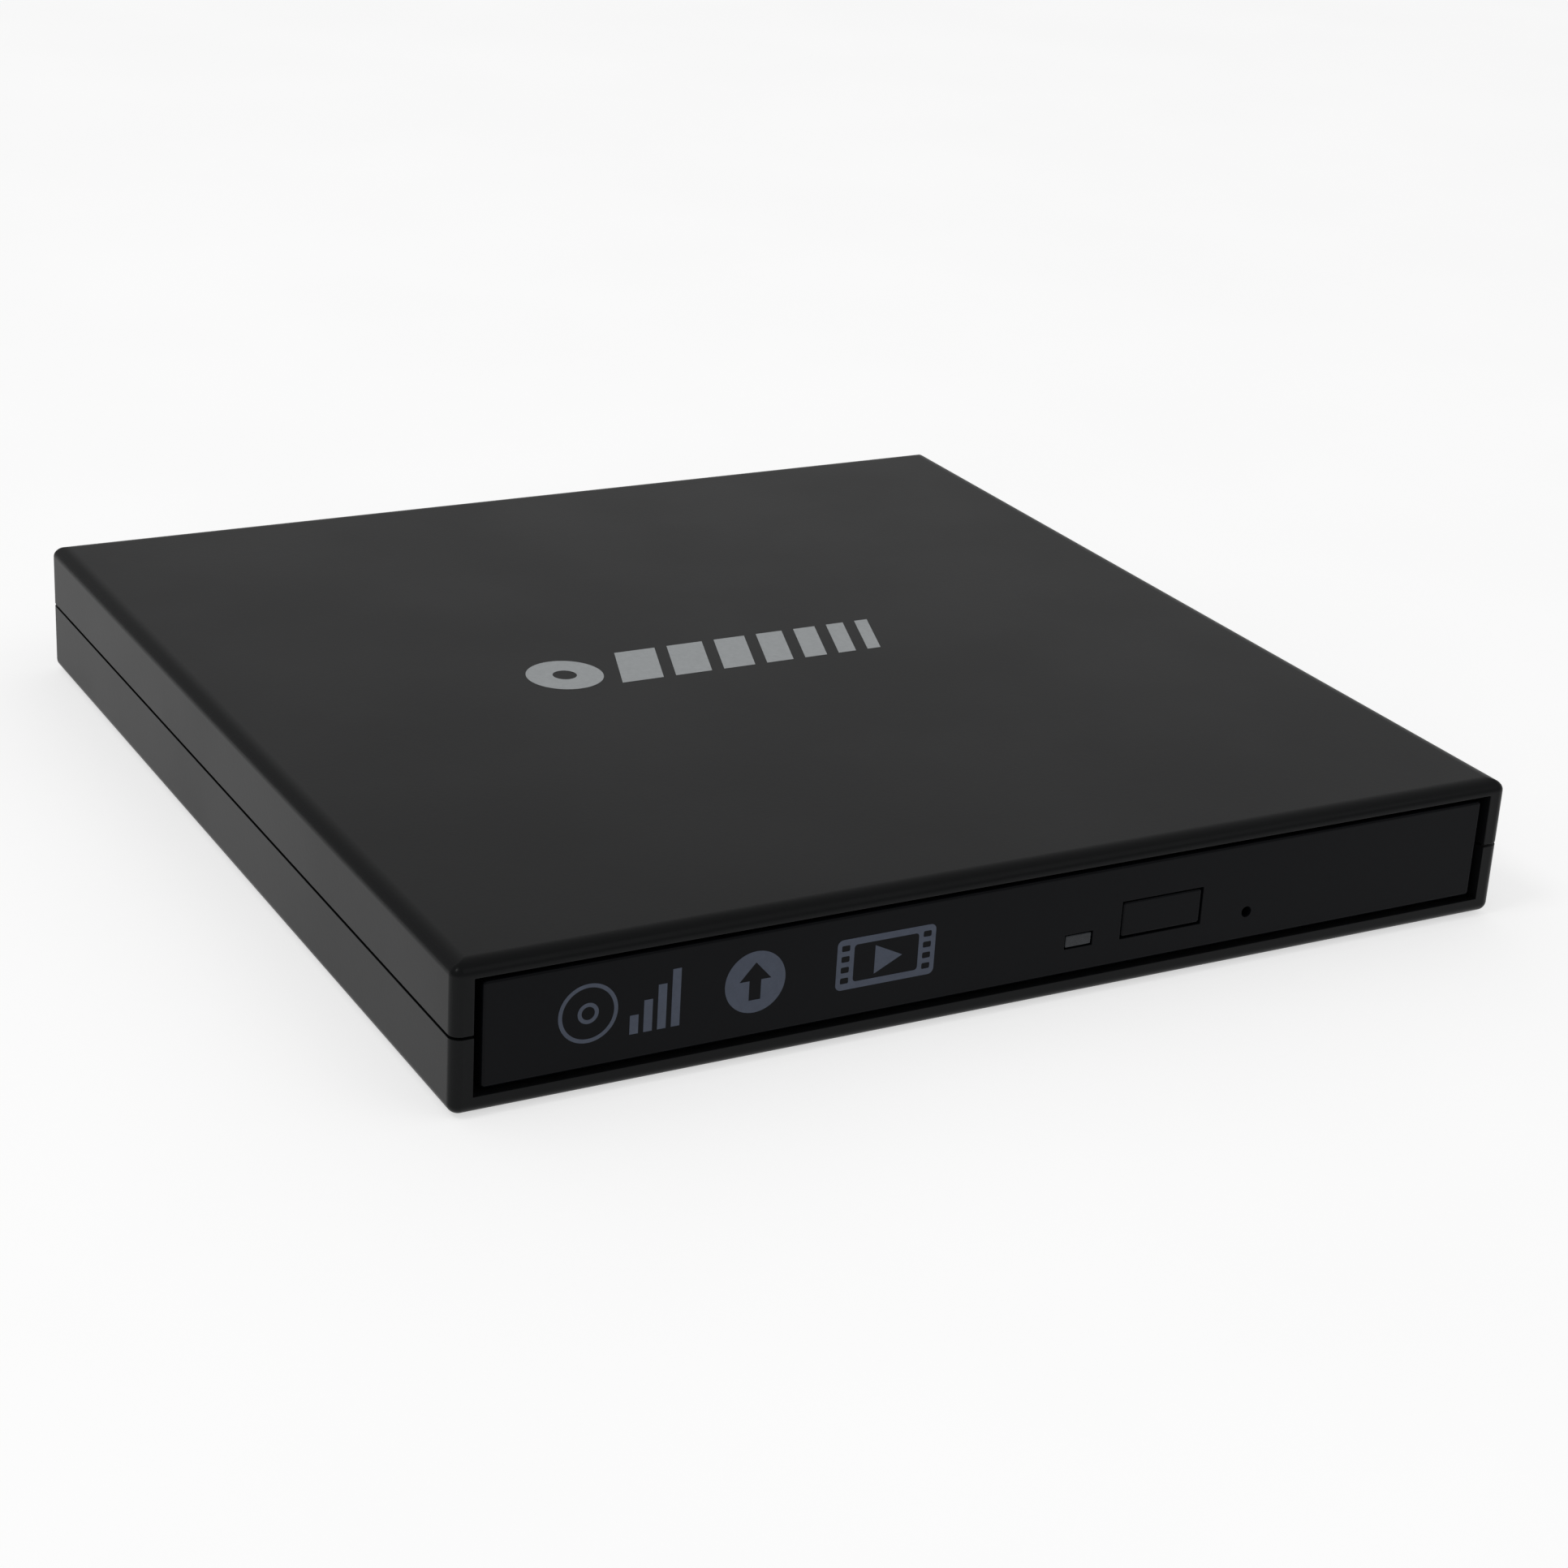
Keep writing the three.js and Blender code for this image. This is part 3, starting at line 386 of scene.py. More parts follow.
class Look:
    """A node material under construction. Lengths are in millimetres of the object's own coordinates."""

    def __init__(self, name, roughness, metallic=0.0, **sockets):
        self.material = bpy.data.materials.new(name)
        self.material.use_nodes = True
        self.tree = self.material.node_tree
        self.shader = self.tree.nodes["Principled BSDF"]
        self.shader.inputs["Roughness"].default_value = roughness
        self.shader.inputs["Metallic"].default_value = metallic
        for key, value in sockets.items():
            self.shader.inputs[key.replace("_", " ")].default_value = value
        self.coordinates = self.tree.nodes.new("ShaderNodeTexCoord")

    def link(self, source, target):
        self.tree.links.new(source, target)

    def node(self, kind, **inputs):
        made = self.tree.nodes.new("ShaderNode" + kind)
        for key, value in inputs.items():
            made.inputs[key.replace("_", " ")].default_value = value
        return made

    def places(self, stretch=(1, 1, 1)):
        """Object coordinates in millimetres, stretched along chosen axes."""
        mapping = self.node("Mapping", Scale=[1 / (MM * s) for s in stretch])
        self.link(self.coordinates.outputs["Object"], mapping.inputs["Vector"])
        return mapping.outputs["Vector"]

    def noise(self, size, detail=2.0, stretch=(1, 1, 1), seed=0.0):
        """Noise whose blotches are about size across."""
        noise = self.node("TexNoise", Scale=1 / size, Detail=detail)
        noise.noise_dimensions = "4D"
        noise.inputs["W"].default_value = seed
        self.link(self.places(stretch), noise.inputs["Vector"])
        return noise.outputs["Fac"]

    def ranged(self, value, low, high, source=(0.3, 0.7)):
        made = self.node("MapRange", From_Min=source[0], From_Max=source[1], To_Min=low, To_Max=high)
        made.interpolation_type = "SMOOTHSTEP"
        self.link(value, made.inputs["Value"])
        return made.outputs["Result"]

    def math(self, operation, *values):
        made = self.node("Math")
        made.operation = operation
        for socket, value in zip(made.inputs, values):
            if isinstance(value, (int, float)):
                socket.default_value = value
            else:
                self.link(value, socket)
        return made.outputs["Value"]

    def mix(self, factor, a, b):
        made = self.node("Mix")
        made.data_type = "RGBA"
        self.link(factor, made.inputs["Factor"])
        for socket, value in ((made.inputs["A"], a), (made.inputs["B"], b)):
            if isinstance(value, tuple):
                socket.default_value = value
            else:
                self.link(value, socket)
        return made.outputs["Result"]

    def edges(self, start=0.03, end=0.2):
        """1 on rounded edges and 0 on faces that look along an axis."""
        split = self.node("SeparateXYZ")
        self.link(self.coordinates.outputs["Normal"], split.inputs["Vector"])
        sizes = [self.math("ABSOLUTE", split.outputs[i]) for i in range(3)]
        largest = self.math("MAXIMUM", self.math("MAXIMUM", sizes[0], sizes[1]), sizes[2])
        return self.ranged(self.math("SUBTRACT", 1.0, largest), 0, 1, (start, end))

    def color(self, value):
        self.link(value, self.shader.inputs["Base Color"])

    def roughness(self, value):
        self.link(value, self.shader.inputs["Roughness"])

    def bump(self, *layers):
        """Bump from (height 0 to 1, depth in millimetres) layers."""
        normal = None
        for height, depth in layers:
            made = self.node("Bump", Strength=1.0, Distance=depth * MM)
            self.link(height, made.inputs["Height"])
            if normal:
                self.link(normal, made.inputs["Normal"])
            normal = made.outputs["Normal"]
        self.link(normal, self.shader.inputs["Normal"])


def moulded(name, color, roughness, grain=0.45, depth=0.006, specular=0.35, edge_wear_and_highlight=0.35):
    """Moulded plastic with a fine eroded grain and faint flow marks. Its edges are polished by handling and
    painted paler, partly as edge wear and partly as a painted highlight.
    """
    look = Look(name, roughness, Specular_IOR_Level=specular)
    base = linear(color)
    paler = shade(base, 1.35, 0.002)
    darker = shade(base, 0.82)
    flow = look.noise(38, 3, (1, 0.7, 1), seed=1)
    speckle = look.noise(grain, 1, seed=2)
    patchy_edges = look.math("MULTIPLY", look.edges(), look.ranged(look.noise(5, 4, seed=3), 0.2, 1))
    tone = look.mix(look.ranged(flow, 0.4, 1), darker, base)
    tone = look.mix(look.math("MULTIPLY", speckle, 0.3), tone, paler)
    # Edges painted paler: partly edge wear, partly a painted highlight where the rounded edges catch light.
    look.color(look.mix(look.math("MULTIPLY", patchy_edges, edge_wear_and_highlight), tone, paler))
    smudges = look.ranged(look.noise(24, 5, seed=4), -0.015, 0.02)
    shine = look.math("MULTIPLY", patchy_edges, -0.12)
    look.roughness(look.math("ADD", look.math("ADD", smudges, shine), roughness))
    look.bump((look.noise(grain, 2, seed=5), depth), (look.noise(grain * 3.7, 3, seed=6), depth * 0.6))
    return look.material


def rubbery(name, color):
    look = Look(name, 0.85, Specular_IOR_Level=0.3)
    base = linear(color)
    paler = shade(base, 1.9, 0.004)
    dust = look.ranged(look.noise(2.4, 5, seed=1), 0, 0.6, (0.45, 0.75))
    look.color(look.mix(dust, base, paler))
    look.roughness(look.ranged(look.noise(1.1, 3, seed=2), 0.74, 0.93))
    look.bump((look.noise(0.35, 2, seed=3), 0.02))
    return look.material


def sheet_metal(name, color, roughness, rolled=(0.12, 9, 9), mottle=0.1, depth=0.004):
    """Rolled sheet with fine lines along its rolling direction, and faint mottling whose paler patches are
    slightly smoother.
    """
    look = Look(name, roughness, 1.0)
    base = linear(color)
    darker = shade(base, 1 - mottle)
    stretch = tuple(1 / s for s in rolled)
    lines = look.noise(1.0, 3, stretch, seed=1)
    patches = look.ranged(look.noise(2.2, 5, seed=2), 0, 1)
    look.color(look.mix(patches, darker, base))
    streaks = look.ranged(lines, -0.06, 0.08)
    worn = look.math("MULTIPLY", patches, -0.05)
    look.roughness(look.math("ADD", look.math("ADD", streaks, roughness), worn))
    look.bump((lines, depth))
    return look.material


def painted_steel(name, color, roughness):
    """Black-coated steel with a fine orange peel, and bare metal showing faintly on its edges."""
    look = Look(name, roughness, 0.55, Specular_IOR_Level=0.5)
    base = linear(color)
    bare = shade(base, 3, 0.06)
    scuffs = look.ranged(look.noise(1.6, 4, seed=1), 0, 0.8)
    patchy_edges = look.math("MULTIPLY", look.edges(0.05, 0.25), scuffs)
    mottled = look.mix(look.ranged(look.noise(6, 3, seed=2), 0, 1), shade(base, 0.8), base)
    look.color(look.mix(patchy_edges, mottled, bare))
    look.roughness(look.ranged(look.noise(2.2, 4, seed=3), roughness - 0.06, roughness + 0.1))
    look.bump((look.noise(0.22, 2, seed=4), 0.006))
    return look.material


def polished(name, color, roughness, rings=0.05):
    """Ground or turned bright metal with very fine scratches."""
    look = Look(name, roughness, 1.0)
    base = linear(color)
    darker = shade(base, 0.86)
    look.color(look.mix(look.ranged(look.noise(1.8, 4, seed=1), 0, 1), darker, base))
    look.roughness(look.ranged(look.noise(0.5, 4, seed=2), roughness * 0.7, roughness * 1.6))
    look.bump((look.noise(rings, 1, seed=3), 0.001))
    return look.material


def board(name):
    """A green circuit board: copper tracks show through the solder mask as a paler raised pattern."""
    look = Look(name, 0.32, Specular_IOR_Level=0.5, Coat_Weight=0.3)
    sizes = {"Brick_Width": 5.5, "Row_Height": 0.9, "Mortar_Size": 0.13, "Mortar_Smooth": 0.1}
    tracks = look.node("TexBrick", Scale=1, **sizes)
    tracks.offset = 0.37
    look.link(look.places(), tracks.inputs["Vector"])
    vias = look.node("TexVoronoi", Scale=0.45)
    look.link(look.places(), vias.inputs["Vector"])
    dots = look.ranged(vias.outputs["Distance"], 1, 0, (0.1, 0.2))
    green = look.mix(tracks.outputs["Fac"], linear(0x0E4A25), linear(0x1F7A3F))
    look.color(look.mix(dots, green, linear(0xC9A24A)))
    look.roughness(look.ranged(look.noise(1.5, 3, seed=2), 0.26, 0.4))
    look.bump((tracks.outputs["Fac"], 0.03))
    return look.material


def winding(name):
    """Enamelled copper wire in fine rows."""
    look = Look(name, 0.3, 0.9)
    wave = look.node("TexWave", Scale=1.2, Distortion=0.4)
    wave.bands_direction = "Z"
    look.link(look.places(), wave.inputs["Vector"])
    look.color(look.mix(wave.outputs["Fac"], linear(0x6B2F10), linear(0xC97A3A)))
    look.roughness(look.ranged(look.noise(0.8, 3, seed=1), 0.24, 0.42))
    look.bump((wave.outputs["Fac"], 0.05))
    return look.material


def film(name):
    """Amber polyimide film over parallel copper tracks."""
    look = Look(name, 0.3, Specular_IOR_Level=0.5, Coat_Weight=0.4)
    wave = look.node("TexWave", Scale=0.55)
    wave.bands_direction = "X"
    look.link(look.places(), wave.inputs["Vector"])
    tracks = look.ranged(wave.outputs["Fac"], 0, 1, (0.35, 0.5))
    tone = look.mix(tracks, linear(0x8A4E14), linear(0xC98A34))
    look.color(look.mix(look.ranged(look.noise(7, 3, seed=1), 0, 0.35), tone, linear(0x7A3F10)))
    look.roughness(look.ranged(look.noise(2, 3, seed=2), 0.22, 0.4))
    look.bump((tracks, 0.02))
    return look.material


def ink(name, color, roughness, metallic=0.0, flake=0.15):
    """Screen-printed ink: slightly uneven, with the grain of the plastic under it."""
    look = Look(name, roughness, metallic, Specular_IOR_Level=0.3)
    base = linear(color)
    thinner = shade(base, 1 - flake)
    patches = look.ranged(look.noise(0.7, 4, seed=1), 0, 1)
    look.color(look.mix(patches, thinner, base))
    look.roughness(look.ranged(look.noise(0.45, 2, seed=2), roughness - 0.06, roughness + 0.08))
    look.bump((look.noise(0.45, 2, seed=5), 0.006))
    return look.material


def smoked(name):
    """Smoked translucent plastic of the light window."""
    look = Look(name, 0.26, Specular_IOR_Level=0.3, Transmission_Weight=0.1)
    frosted = look.ranged(look.noise(0.6, 4, seed=1), 0, 1)
    look.color(look.mix(frosted, linear(0x1B1E22), linear(0x25282D)))
    look.roughness(look.ranged(look.noise(0.5, 3, seed=2), 0.18, 0.34))
    look.bump((look.noise(0.5, 2, seed=3), 0.01))
    return look.material


def lens_glass(name):
    look = Look(name, 0.03, Specular_IOR_Level=0.8, Transmission_Weight=0.75, IOR=1.58, Coat_Weight=1.0)
    tint = look.ranged(look.noise(1.6, 2, seed=1), 0, 1)
    look.color(look.mix(tint, linear(0x30406E), linear(0x5A6FA8)))
    look.roughness(look.ranged(look.noise(0.9, 2, seed=2), 0.02, 0.06))
    return look.material


LOOKS = {
    "case_black": moulded("case_black", 0x101112, 0.34, grain=0.5, depth=0.005, specular=0.1, edge_wear_and_highlight=0.05),
    "bezel_black": moulded("bezel_black", 0x08090C, 0.3, grain=0.4, depth=0.003, specular=0.075, edge_wear_and_highlight=0.3),
    "tray_black": moulded("tray_black", 0x222325, 0.5, grain=0.6, depth=0.01, specular=0.3),
    "rubber": rubbery("rubber", 0x131313),
    "sheet_steel": sheet_metal("sheet_steel", 0xB4B6B8, 0.32),
    "black_steel": painted_steel("black_steel", 0x2A2B2E, 0.42),
    "screw_black": painted_steel("screw_black", 0x1E1F21, 0.34),
    "polished_steel": polished("polished_steel", 0xD6D8DA, 0.14),
    "zinc_casting": sheet_metal("zinc_casting", 0xA6A8AA, 0.42, rolled=(1, 1, 1), mottle=0.3, depth=0.02),
    "board_green": board("board_green"),
    "component_black": moulded("component_black", 0x111213, 0.48, grain=0.3, depth=0.006),
    "white_plastic": moulded("white_plastic", 0xDCDAD2, 0.42, grain=0.5, depth=0.006, edge_wear_and_highlight=0.2),
    "grey_plastic": moulded("grey_plastic", 0x90949A, 0.45, grain=0.5, depth=0.006, edge_wear_and_highlight=0.2),
    "light_pipe": smoked("light_pipe"),
    "copper_winding": winding("copper_winding"),
    "flex_amber": film("flex_amber"),
    "brass": polished("brass", 0xC9A558, 0.22),
    "lens_glass": lens_glass("lens_glass"),
    "silver_print": ink("silver_print", 0xB9BDBF, 0.45, 0.2, flake=0.06),
    "grey_print": ink("grey_print", 0x3F4655, 0.5, flake=0.1),
    "label": ink("label", 0x8E9092, 0.38, 0.2, flake=0.05),
}


# ---- Making pieces ----


def smooth(mesh, angle):
    """Smooth shading, with creases where faces meet at more than the angle."""
    mesh.polygons.foreach_set("use_smooth", [True] * len(mesh.polygons))
    mesh.set_sharp_from_angle(angle=math.radians(angle))
    mesh.update()


def piece(name, mesh, body, look, replaces=(), angle=35):
    """A piece from a mesh in millimetres. It rides on a body and stands for the CAD nodes it replaces."""
    mesh.transform(Matrix.Scale(MM, 4))
    smooth(mesh, angle)
    mesh = with_modifier(mesh, "WEIGHTED_NORMAL", keep_sharp=True, weight=50)
    mesh.name = name
    mesh.materials.clear()
    mesh.materials.append(LOOKS[look])
    made = bpy.data.objects.new(name, mesh)
    SCENE.collection.objects.link(made)
    if body:
        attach(made, body)
    if replaces:
        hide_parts(*replaces)
    return made


def refined(node, look, width, steps=2):
    """A smooth piece with bevelled edges, in the shape of its CAD node."""
    source = frame["nodes"][node]
    mesh = source.data.copy()
    mesh.transform(Matrix.Scale(1 / MM, 4) @ source.matrix_world)
    made = bmesh.new()
    made.from_mesh(mesh)
    bmesh.ops.remove_doubles(made, verts=made.verts, dist=1e-3)
    bmesh.ops.dissolve_limit(made, angle_limit=math.radians(0.5), verts=made.verts, edges=made.edges)
    made.to_mesh(mesh)
    made.free()
    piece(node + "_part", bevelled(mesh, width, steps, 45), BODY_OF[node], look, [node])


# ---- The case ----

TOP_EDGE = (2.2, 1.4)
BOTTOM_EDGE = (1.2, 1.2)
PARTING_GAP = 0.3
TOP_RIM_Z = BASE_Z[1] + PARTING_GAP
FEET = ("foot_front_left", "foot_front_right", "foot_rear_left", "foot_rear_right")
SCREWS = ("case_screw_left", "case_screw_right", "drive_screw_left", "drive_screw_right")


def shell_cavity(z):
    return box(inset(TOP_X, SIDE_WALL), (TOP_Y[0] - 1, TOP_Y[1] - BACK_WALL), z)


def socket_openings():
    """The holes in the back for the two sockets."""
    y = (TOP_Y[1] - BACK_WALL - 0.5, TOP_Y[1] + 1)
    tools = []
    for node in ("usb_socket", "power_jack"):
        x, _, z = limits(node)
        tools.append(box(inset(x, -0.3), y, inset(z, -0.3)))
    return tools


def case_top():
    z = (TOP_RIM_Z, TOP_Z[1] - FACE_DROP)
    mesh = soft_slab(TOP_X, TOP_Y, z, CASE_CORNER, top=TOP_EDGE)
    mesh = cut(mesh, shell_cavity((0, TOP_Z[1] - CASE_ROOF)), *socket_openings())
    piece("case_top", bevelled(mesh, 0.12, 3, 50), "case", "case_black", ["top_shell"])


def case_bottom():
    mesh = soft_slab(BASE_X, BASE_Y, BASE_Z, CASE_CORNER, bottom=BOTTOM_EDGE)
    mesh = cut(mesh, shell_cavity((BASE_Z[0] + CASE_FLOOR, BASE_Z[1] + 1)), *socket_openings())
    under = BASE_Z[0]
    recesses = [prism(rounded((-32, 32), (-24, 24), 2), (under - 1, under + 0.25))]
    for node in FEET:
        radius, centre, z = round_limits(node)
        recesses.append(rod(radius + 0.2, "z", (under - 1, z[1] + 0.05), centre, 64))
    for node in SCREWS:
        radius, centre, _ = round_limits(node)
        depth = CASE_FLOOR if node.startswith("case") else 1.4
        recesses.append(rod(radius + 0.25, "z", (under - 1, under + depth), centre, 48))
        recesses.append(rod(1.1, "z", (under - 1, under + CASE_FLOOR + 1), centre, 32))
    mesh = cut(mesh, *recesses)
    piece("case_bottom", bevelled(mesh, 0.2, 3, 50), "case", "case_black", ["bottom_shell"])


def parting_lip():
    """The inner lip of the lower shell, which closes the line between the shells."""
    outer = TOP_X[1] - SIDE_WALL + 0.7
    back = TOP_Y[1] - BACK_WALL + 0.7
    front = TOP_Y[0] + 1.2
    thin = 0.5
    outline = [
        (-outer, front),
        (thin - outer, front),
        (thin - outer, back - thin),
        (outer - thin, back - thin),
        (outer - thin, front),
        (outer, front),
        (outer, back),
        (-outer, back),
    ]
    mesh = cut(prism(outline, (BASE_Z[1] - 1, TOP_RIM_Z + 0.9)), *socket_openings())
    piece("parting_lip", mesh, "case", "case_black", angle=30)


def feet():
    for node in FEET:
        r, centre, z = round_limits(node)
        profile = [(0, 0.12), (r - 2.6, 0.12), (r - 2.4, 0), (r - 0.5, 0)]
        for angle in (0.4, 0.8, 1.2, math.pi / 2):
            profile.append((r - 0.5 + 0.5 * math.sin(angle), 0.4 - 0.4 * math.cos(angle)))
        profile += [(r, z[1] - 0.08), (r - 0.08, z[1]), (0, z[1])]
        mesh = turned(profile, 72, centre)
        piece(node + "_pad", mesh, "case", "rubber", [node], angle=50)


def cross_recess(radius, z, centre):
    width = radius * 0.24
    arms = [
        box((centre[0] - radius, centre[0] + radius), (centre[1] - width, centre[1] + width), z),
        box((centre[0] - width, centre[0] + width), (centre[1] - radius, centre[1] + radius), z),
    ]
    return [bevelled(arm, 0.06, 1) for arm in arms]


def screws():
    for node in SCREWS:
        x, y, z = limits(node)
        r = (x[1] - x[0]) / 2
        bottom = z[0]
        profile = [(0, bottom), (r * 0.55, bottom + 0.02), (r * 0.85, bottom + 0.12), (r, bottom + 0.36)]
        profile += [(r, bottom + 0.5), (0.8, bottom + 0.68), (0.8, z[1]), (0, z[1])]
        centre = (middle(x), middle(y))
        mesh = turned(profile, 48, centre)
        mesh = cut(mesh, *cross_recess(r * 0.55, (bottom - 0.5, bottom + 0.4), centre))
        piece(node + "_head", mesh, "case", "screw_black", [node], angle=40)


def base_label():
    """A blank rating label in its recess, with an empty printed frame and empty rows."""
    under = BASE_Z[0]
    plate = prism(rounded((-31.2, 31.2), (-23.2, 23.2), 1.6), (under + 0.12, under + 0.24))
    piece("base_label", bevelled(plate, 0.03, 1), "case", "label")
    frames = [rounded((-29, 29), (-21, 21), 1.2), rounded((-28.6, 28.6), (-20.6, 20.6), 0.9)]
    rows = [rectangle((-26, 26 - 9 * (i % 3)), (y, y + 0.7)) for i, y in enumerate((-16, -12, -8, -4))]
    fields = []
    for x in (-26, -8, 10):
        fields += [rounded((x, x + 16), (3, 16), 0.8), rounded((x + 0.35, x + 15.65), (3.35, 15.65), 0.5)]
    art = flat_art(frames + rows + fields, PRINT_THICKNESS)
    moved(art, Matrix.Translation((0, 0, under + 0.12 - PRINT_THICKNESS - 0.002)))
    piece("base_label_print", art, "case", "case_black")


def emblem():
    """A plain silver mark on the roof: a disc that trails slanted stripes, each narrower than the last."""
    low, high = -3.6, 6.0
    lean = 3.4
    disc = (-23.2, (low + high) / 2)
    outlines = [circle(disc, (high - low) / 2, 96), circle(disc, 1.5, 48)]
    x = -17.6
    for i in range(7):
        width = 5.6 - 0.62 * i
        outlines.append([(x, low), (x + width, low), (x + width + lean, high), (x + lean, high)])
        x += width + 1.7
    art = flat_art(outlines, PRINT_THICKNESS)
    moved(art, Matrix.Translation((0, 0, TOP_Z[1] - FACE_DROP + 0.002)))
    piece("emblem", art, "case", "silver_print")


# ---- The sockets at the back ----


def usb_section(x, z, by):
    """A mini socket's outline, inset from its outer faces."""
    half = (x[1] - x[0]) / 2 - by
    centre = middle(x)
    shoulder = z[0] + 1.25
    return [
        (centre - half * 0.72, z[0] + by),
        (centre + half * 0.72, z[0] + by),
        (centre + half, shoulder),
        (centre + half, z[1] - by),
        (centre - half, z[1] - by),
        (centre - half, shoulder),
    ]


def usb_socket():
    x, y, z = limits("usb_socket")
    shell = bar(usb_section(x, z, 0), y)
    shell = cut(shell, bar(usb_section(x, z, 0.4), (y[0] + 0.5, y[1] + 1)))
    springs = []
    for side in (-1, 1):
        centre = middle(x) + side * 1.7
        springs.append(box((centre - 0.5, centre + 0.5), (y[1] - 5.5, y[1] - 2), (z[1] - 0.6, z[1] + 1)))
    shell = bevelled(cut(shell, *springs), 0.07, 1, 30)
    piece("usb_shell", shell, "case", "sheet_steel", ["usb_socket"])
    tx, ty, tz = limits("usb_tongue")
    piece("usb_blade", soft_box(tx, ty, tz, 0.1), "case", "component_black", ["usb_tongue"])
    pitch = 0.8
    contacts = []
    for i in range(-2, 3):
        across = (middle(tx) + i * pitch - 0.18, middle(tx) + i * pitch + 0.18)
        contact = box(across, (ty[0] + 0.4, ty[1] - 0.5), (tz[0] - 0.06, tz[0] + 0.1))
        contacts.append(bevelled(contact, 0.03, 1))
    piece("usb_contacts", merged(*contacts), "case", "brass")


def power_jack():
    x, y, z = limits("power_jack")
    centre = (middle(x), middle(z))
    block = soft_box(x, y, z, 0.3)
    block = cut(block, rod(2.3, "y", (y[0] + 1.6, y[1] + 1), centre, 64))
    piece("power_jack_body", bevelled(block, 0.1, 2, 60), "case", "component_black", ["power_jack"])
    px, py, pz = limits("power_jack_pin")
    r = (px[1] - px[0]) / 2
    tip = [(r * math.cos(a), py[1] - py[0] - r + r * math.sin(a)) for a in (0, 0.5, 1.0, 1.4)]
    profile = [(0, 0), (r, 0), *tip, (0, py[1] - py[0])]
    pin = stood_up(turned(profile, 32), (middle(px), py[0], middle(pz)), -90)
    piece("power_jack_contact", pin, "case", "brass", ["power_jack_pin"], angle=50)
    leaf_z = (centre[1] + 1.75, centre[1] + 1.95)
    leaf = soft_box((centre[0] - 0.5, centre[0] + 0.5), (y[0] + 2, y[1] - 1.6), leaf_z, 0.05, 1)
    piece("power_jack_leaf", leaf, "case", "brass")


# ---- The front panel ----

FRONT_FACE = FRONT_Y[0]
PANEL_PLATE = 1.4
PANEL_RIM = 1.3
KEY_OPENING = (inset(KEY_X, 0.6), inset(KEY_Z, 0.4))
PINHOLE = (31.0, 6.5)


def front_panel():
    tall = (FRONT_Z[1] - FRONT_Z[0]) / 2
    depth = FRONT_Y[1] - FRONT_Y[0]
    slab = soft_slab(FRONT_X, (-tall, tall), (0, depth), 0.5, top=(0.4, 0.4), edge_steps=6)
    slab = stood_up(slab, (0, FRONT_Y[1], middle(FRONT_Z)))
    inside = (FRONT_FACE + PANEL_PLATE, FRONT_Y[1] + 1)
    through = (FRONT_FACE - 1, FRONT_Y[1] + 1)
    tools = [
        box(inset(FRONT_X, PANEL_RIM), inside, inset(FRONT_Z, PANEL_RIM)),
        box(KEY_OPENING[0], through, KEY_OPENING[1]),
        box(inset(LIGHT_X, -0.15), through, inset(LIGHT_Z, -0.15)),
        rod(0.65, "y", through, PINHOLE, 40),
    ]
    mesh = bevelled(cut(slab, *tools), 0.08, 2, 50)
    piece("front_panel", mesh, "tray", "bezel_black", ["bezel"])


def eject_key():
    cap_x, cap_z = inset(KEY_OPENING[0], 0.2), inset(KEY_OPENING[1], 0.2)
    depth = 2.0
    wide, tall = (cap_x[1] - cap_x[0]) / 2, (cap_z[1] - cap_z[0]) / 2
    cap = soft_slab((-wide, wide), (-tall, tall), (0, depth), 0.35, top=(0.25, 0.2), edge_steps=5)
    cap = stood_up(cap, (middle(cap_x), FRONT_FACE + 0.06 + depth, middle(cap_z)))
    flange = box(KEY_X, (FRONT_FACE + PANEL_PLATE + 0.1, FRONT_FACE + 2.2), KEY_Z)
    stem = box((17.6, 20.6), (FRONT_FACE + 1.8, KEY_Y[1]), (7.3, 8.9))
    mesh = join(cap, flange, stem)
    piece("eject_key", bevelled(mesh, 0.06, 1, 60), "button", "bezel_black", ["eject_button"])


def light_window():
    mesh = soft_box(LIGHT_X, LIGHT_Y, LIGHT_Z, 0.16, 3)
    piece("light_window", mesh, "tray", "light_pipe", ["led_window"])


def front_print(name, outlines):
    """Flat artwork printed on the front panel."""
    art = stood_up(flat_art(outlines, PRINT_THICKNESS), (0, FRONT_FACE - 0.002, 0))
    piece("front_print_" + name, art, "tray", "grey_print")


def disc_print():
    """A disc in outline beside four rising bars."""
    x, z = -55.6, 6.0
    disc = (x + 3.4, z + 3.4)
    outlines = [circle(disc, 3.4), circle(disc, 2.95), circle(disc, 1.2, 40), circle(disc, 0.75, 40)]
    outlines += [rectangle((x + 8.2 + 1.6 * i, x + 9.2 + 1.6 * i), (z, z + 2.2 + 1.5 * i)) for i in range(4)]
    front_print("disc", outlines)


def badge_print():
    """A filled round badge with an upward arrow left clear."""
    x, z = -32.8, 9.4
    head = [(x + 1.9, z + 0.2), (x, z + 2.3), (x - 1.9, z + 0.2)]
    stem = [(x - 0.7, z + 0.2), (x - 0.7, z - 2.1), (x + 0.7, z - 2.1), (x + 0.7, z + 0.2)]
    outlines = [circle((x, z), 3.6, 64), head + stem]
    front_print("badge", outlines)


def film_print():
    """A film frame with a play triangle."""
    x, z = (-23.0, -10.8), (6.4, 12.4)
    outlines = [rounded(x, z, 0.7), rounded(inset(x, 2.1), inset(z, 0.8), 0.4)]
    for left in (x[0] + 0.55, x[1] - 1.55):
        for i in range(4):
            hole = (z[0] + 0.75 + 1.28 * i, z[0] + 1.45 + 1.28 * i)
            outlines.append(rounded((left, left + 1.0), hole, 0.15, 3))
    centre = middle(x)
    outlines.append([(centre - 1.4, z[0] + 1.3), (centre + 2.0, middle(z)), (centre - 1.4, z[1] - 1.3)])
    front_print("film", outlines)


# ---- The tray ----

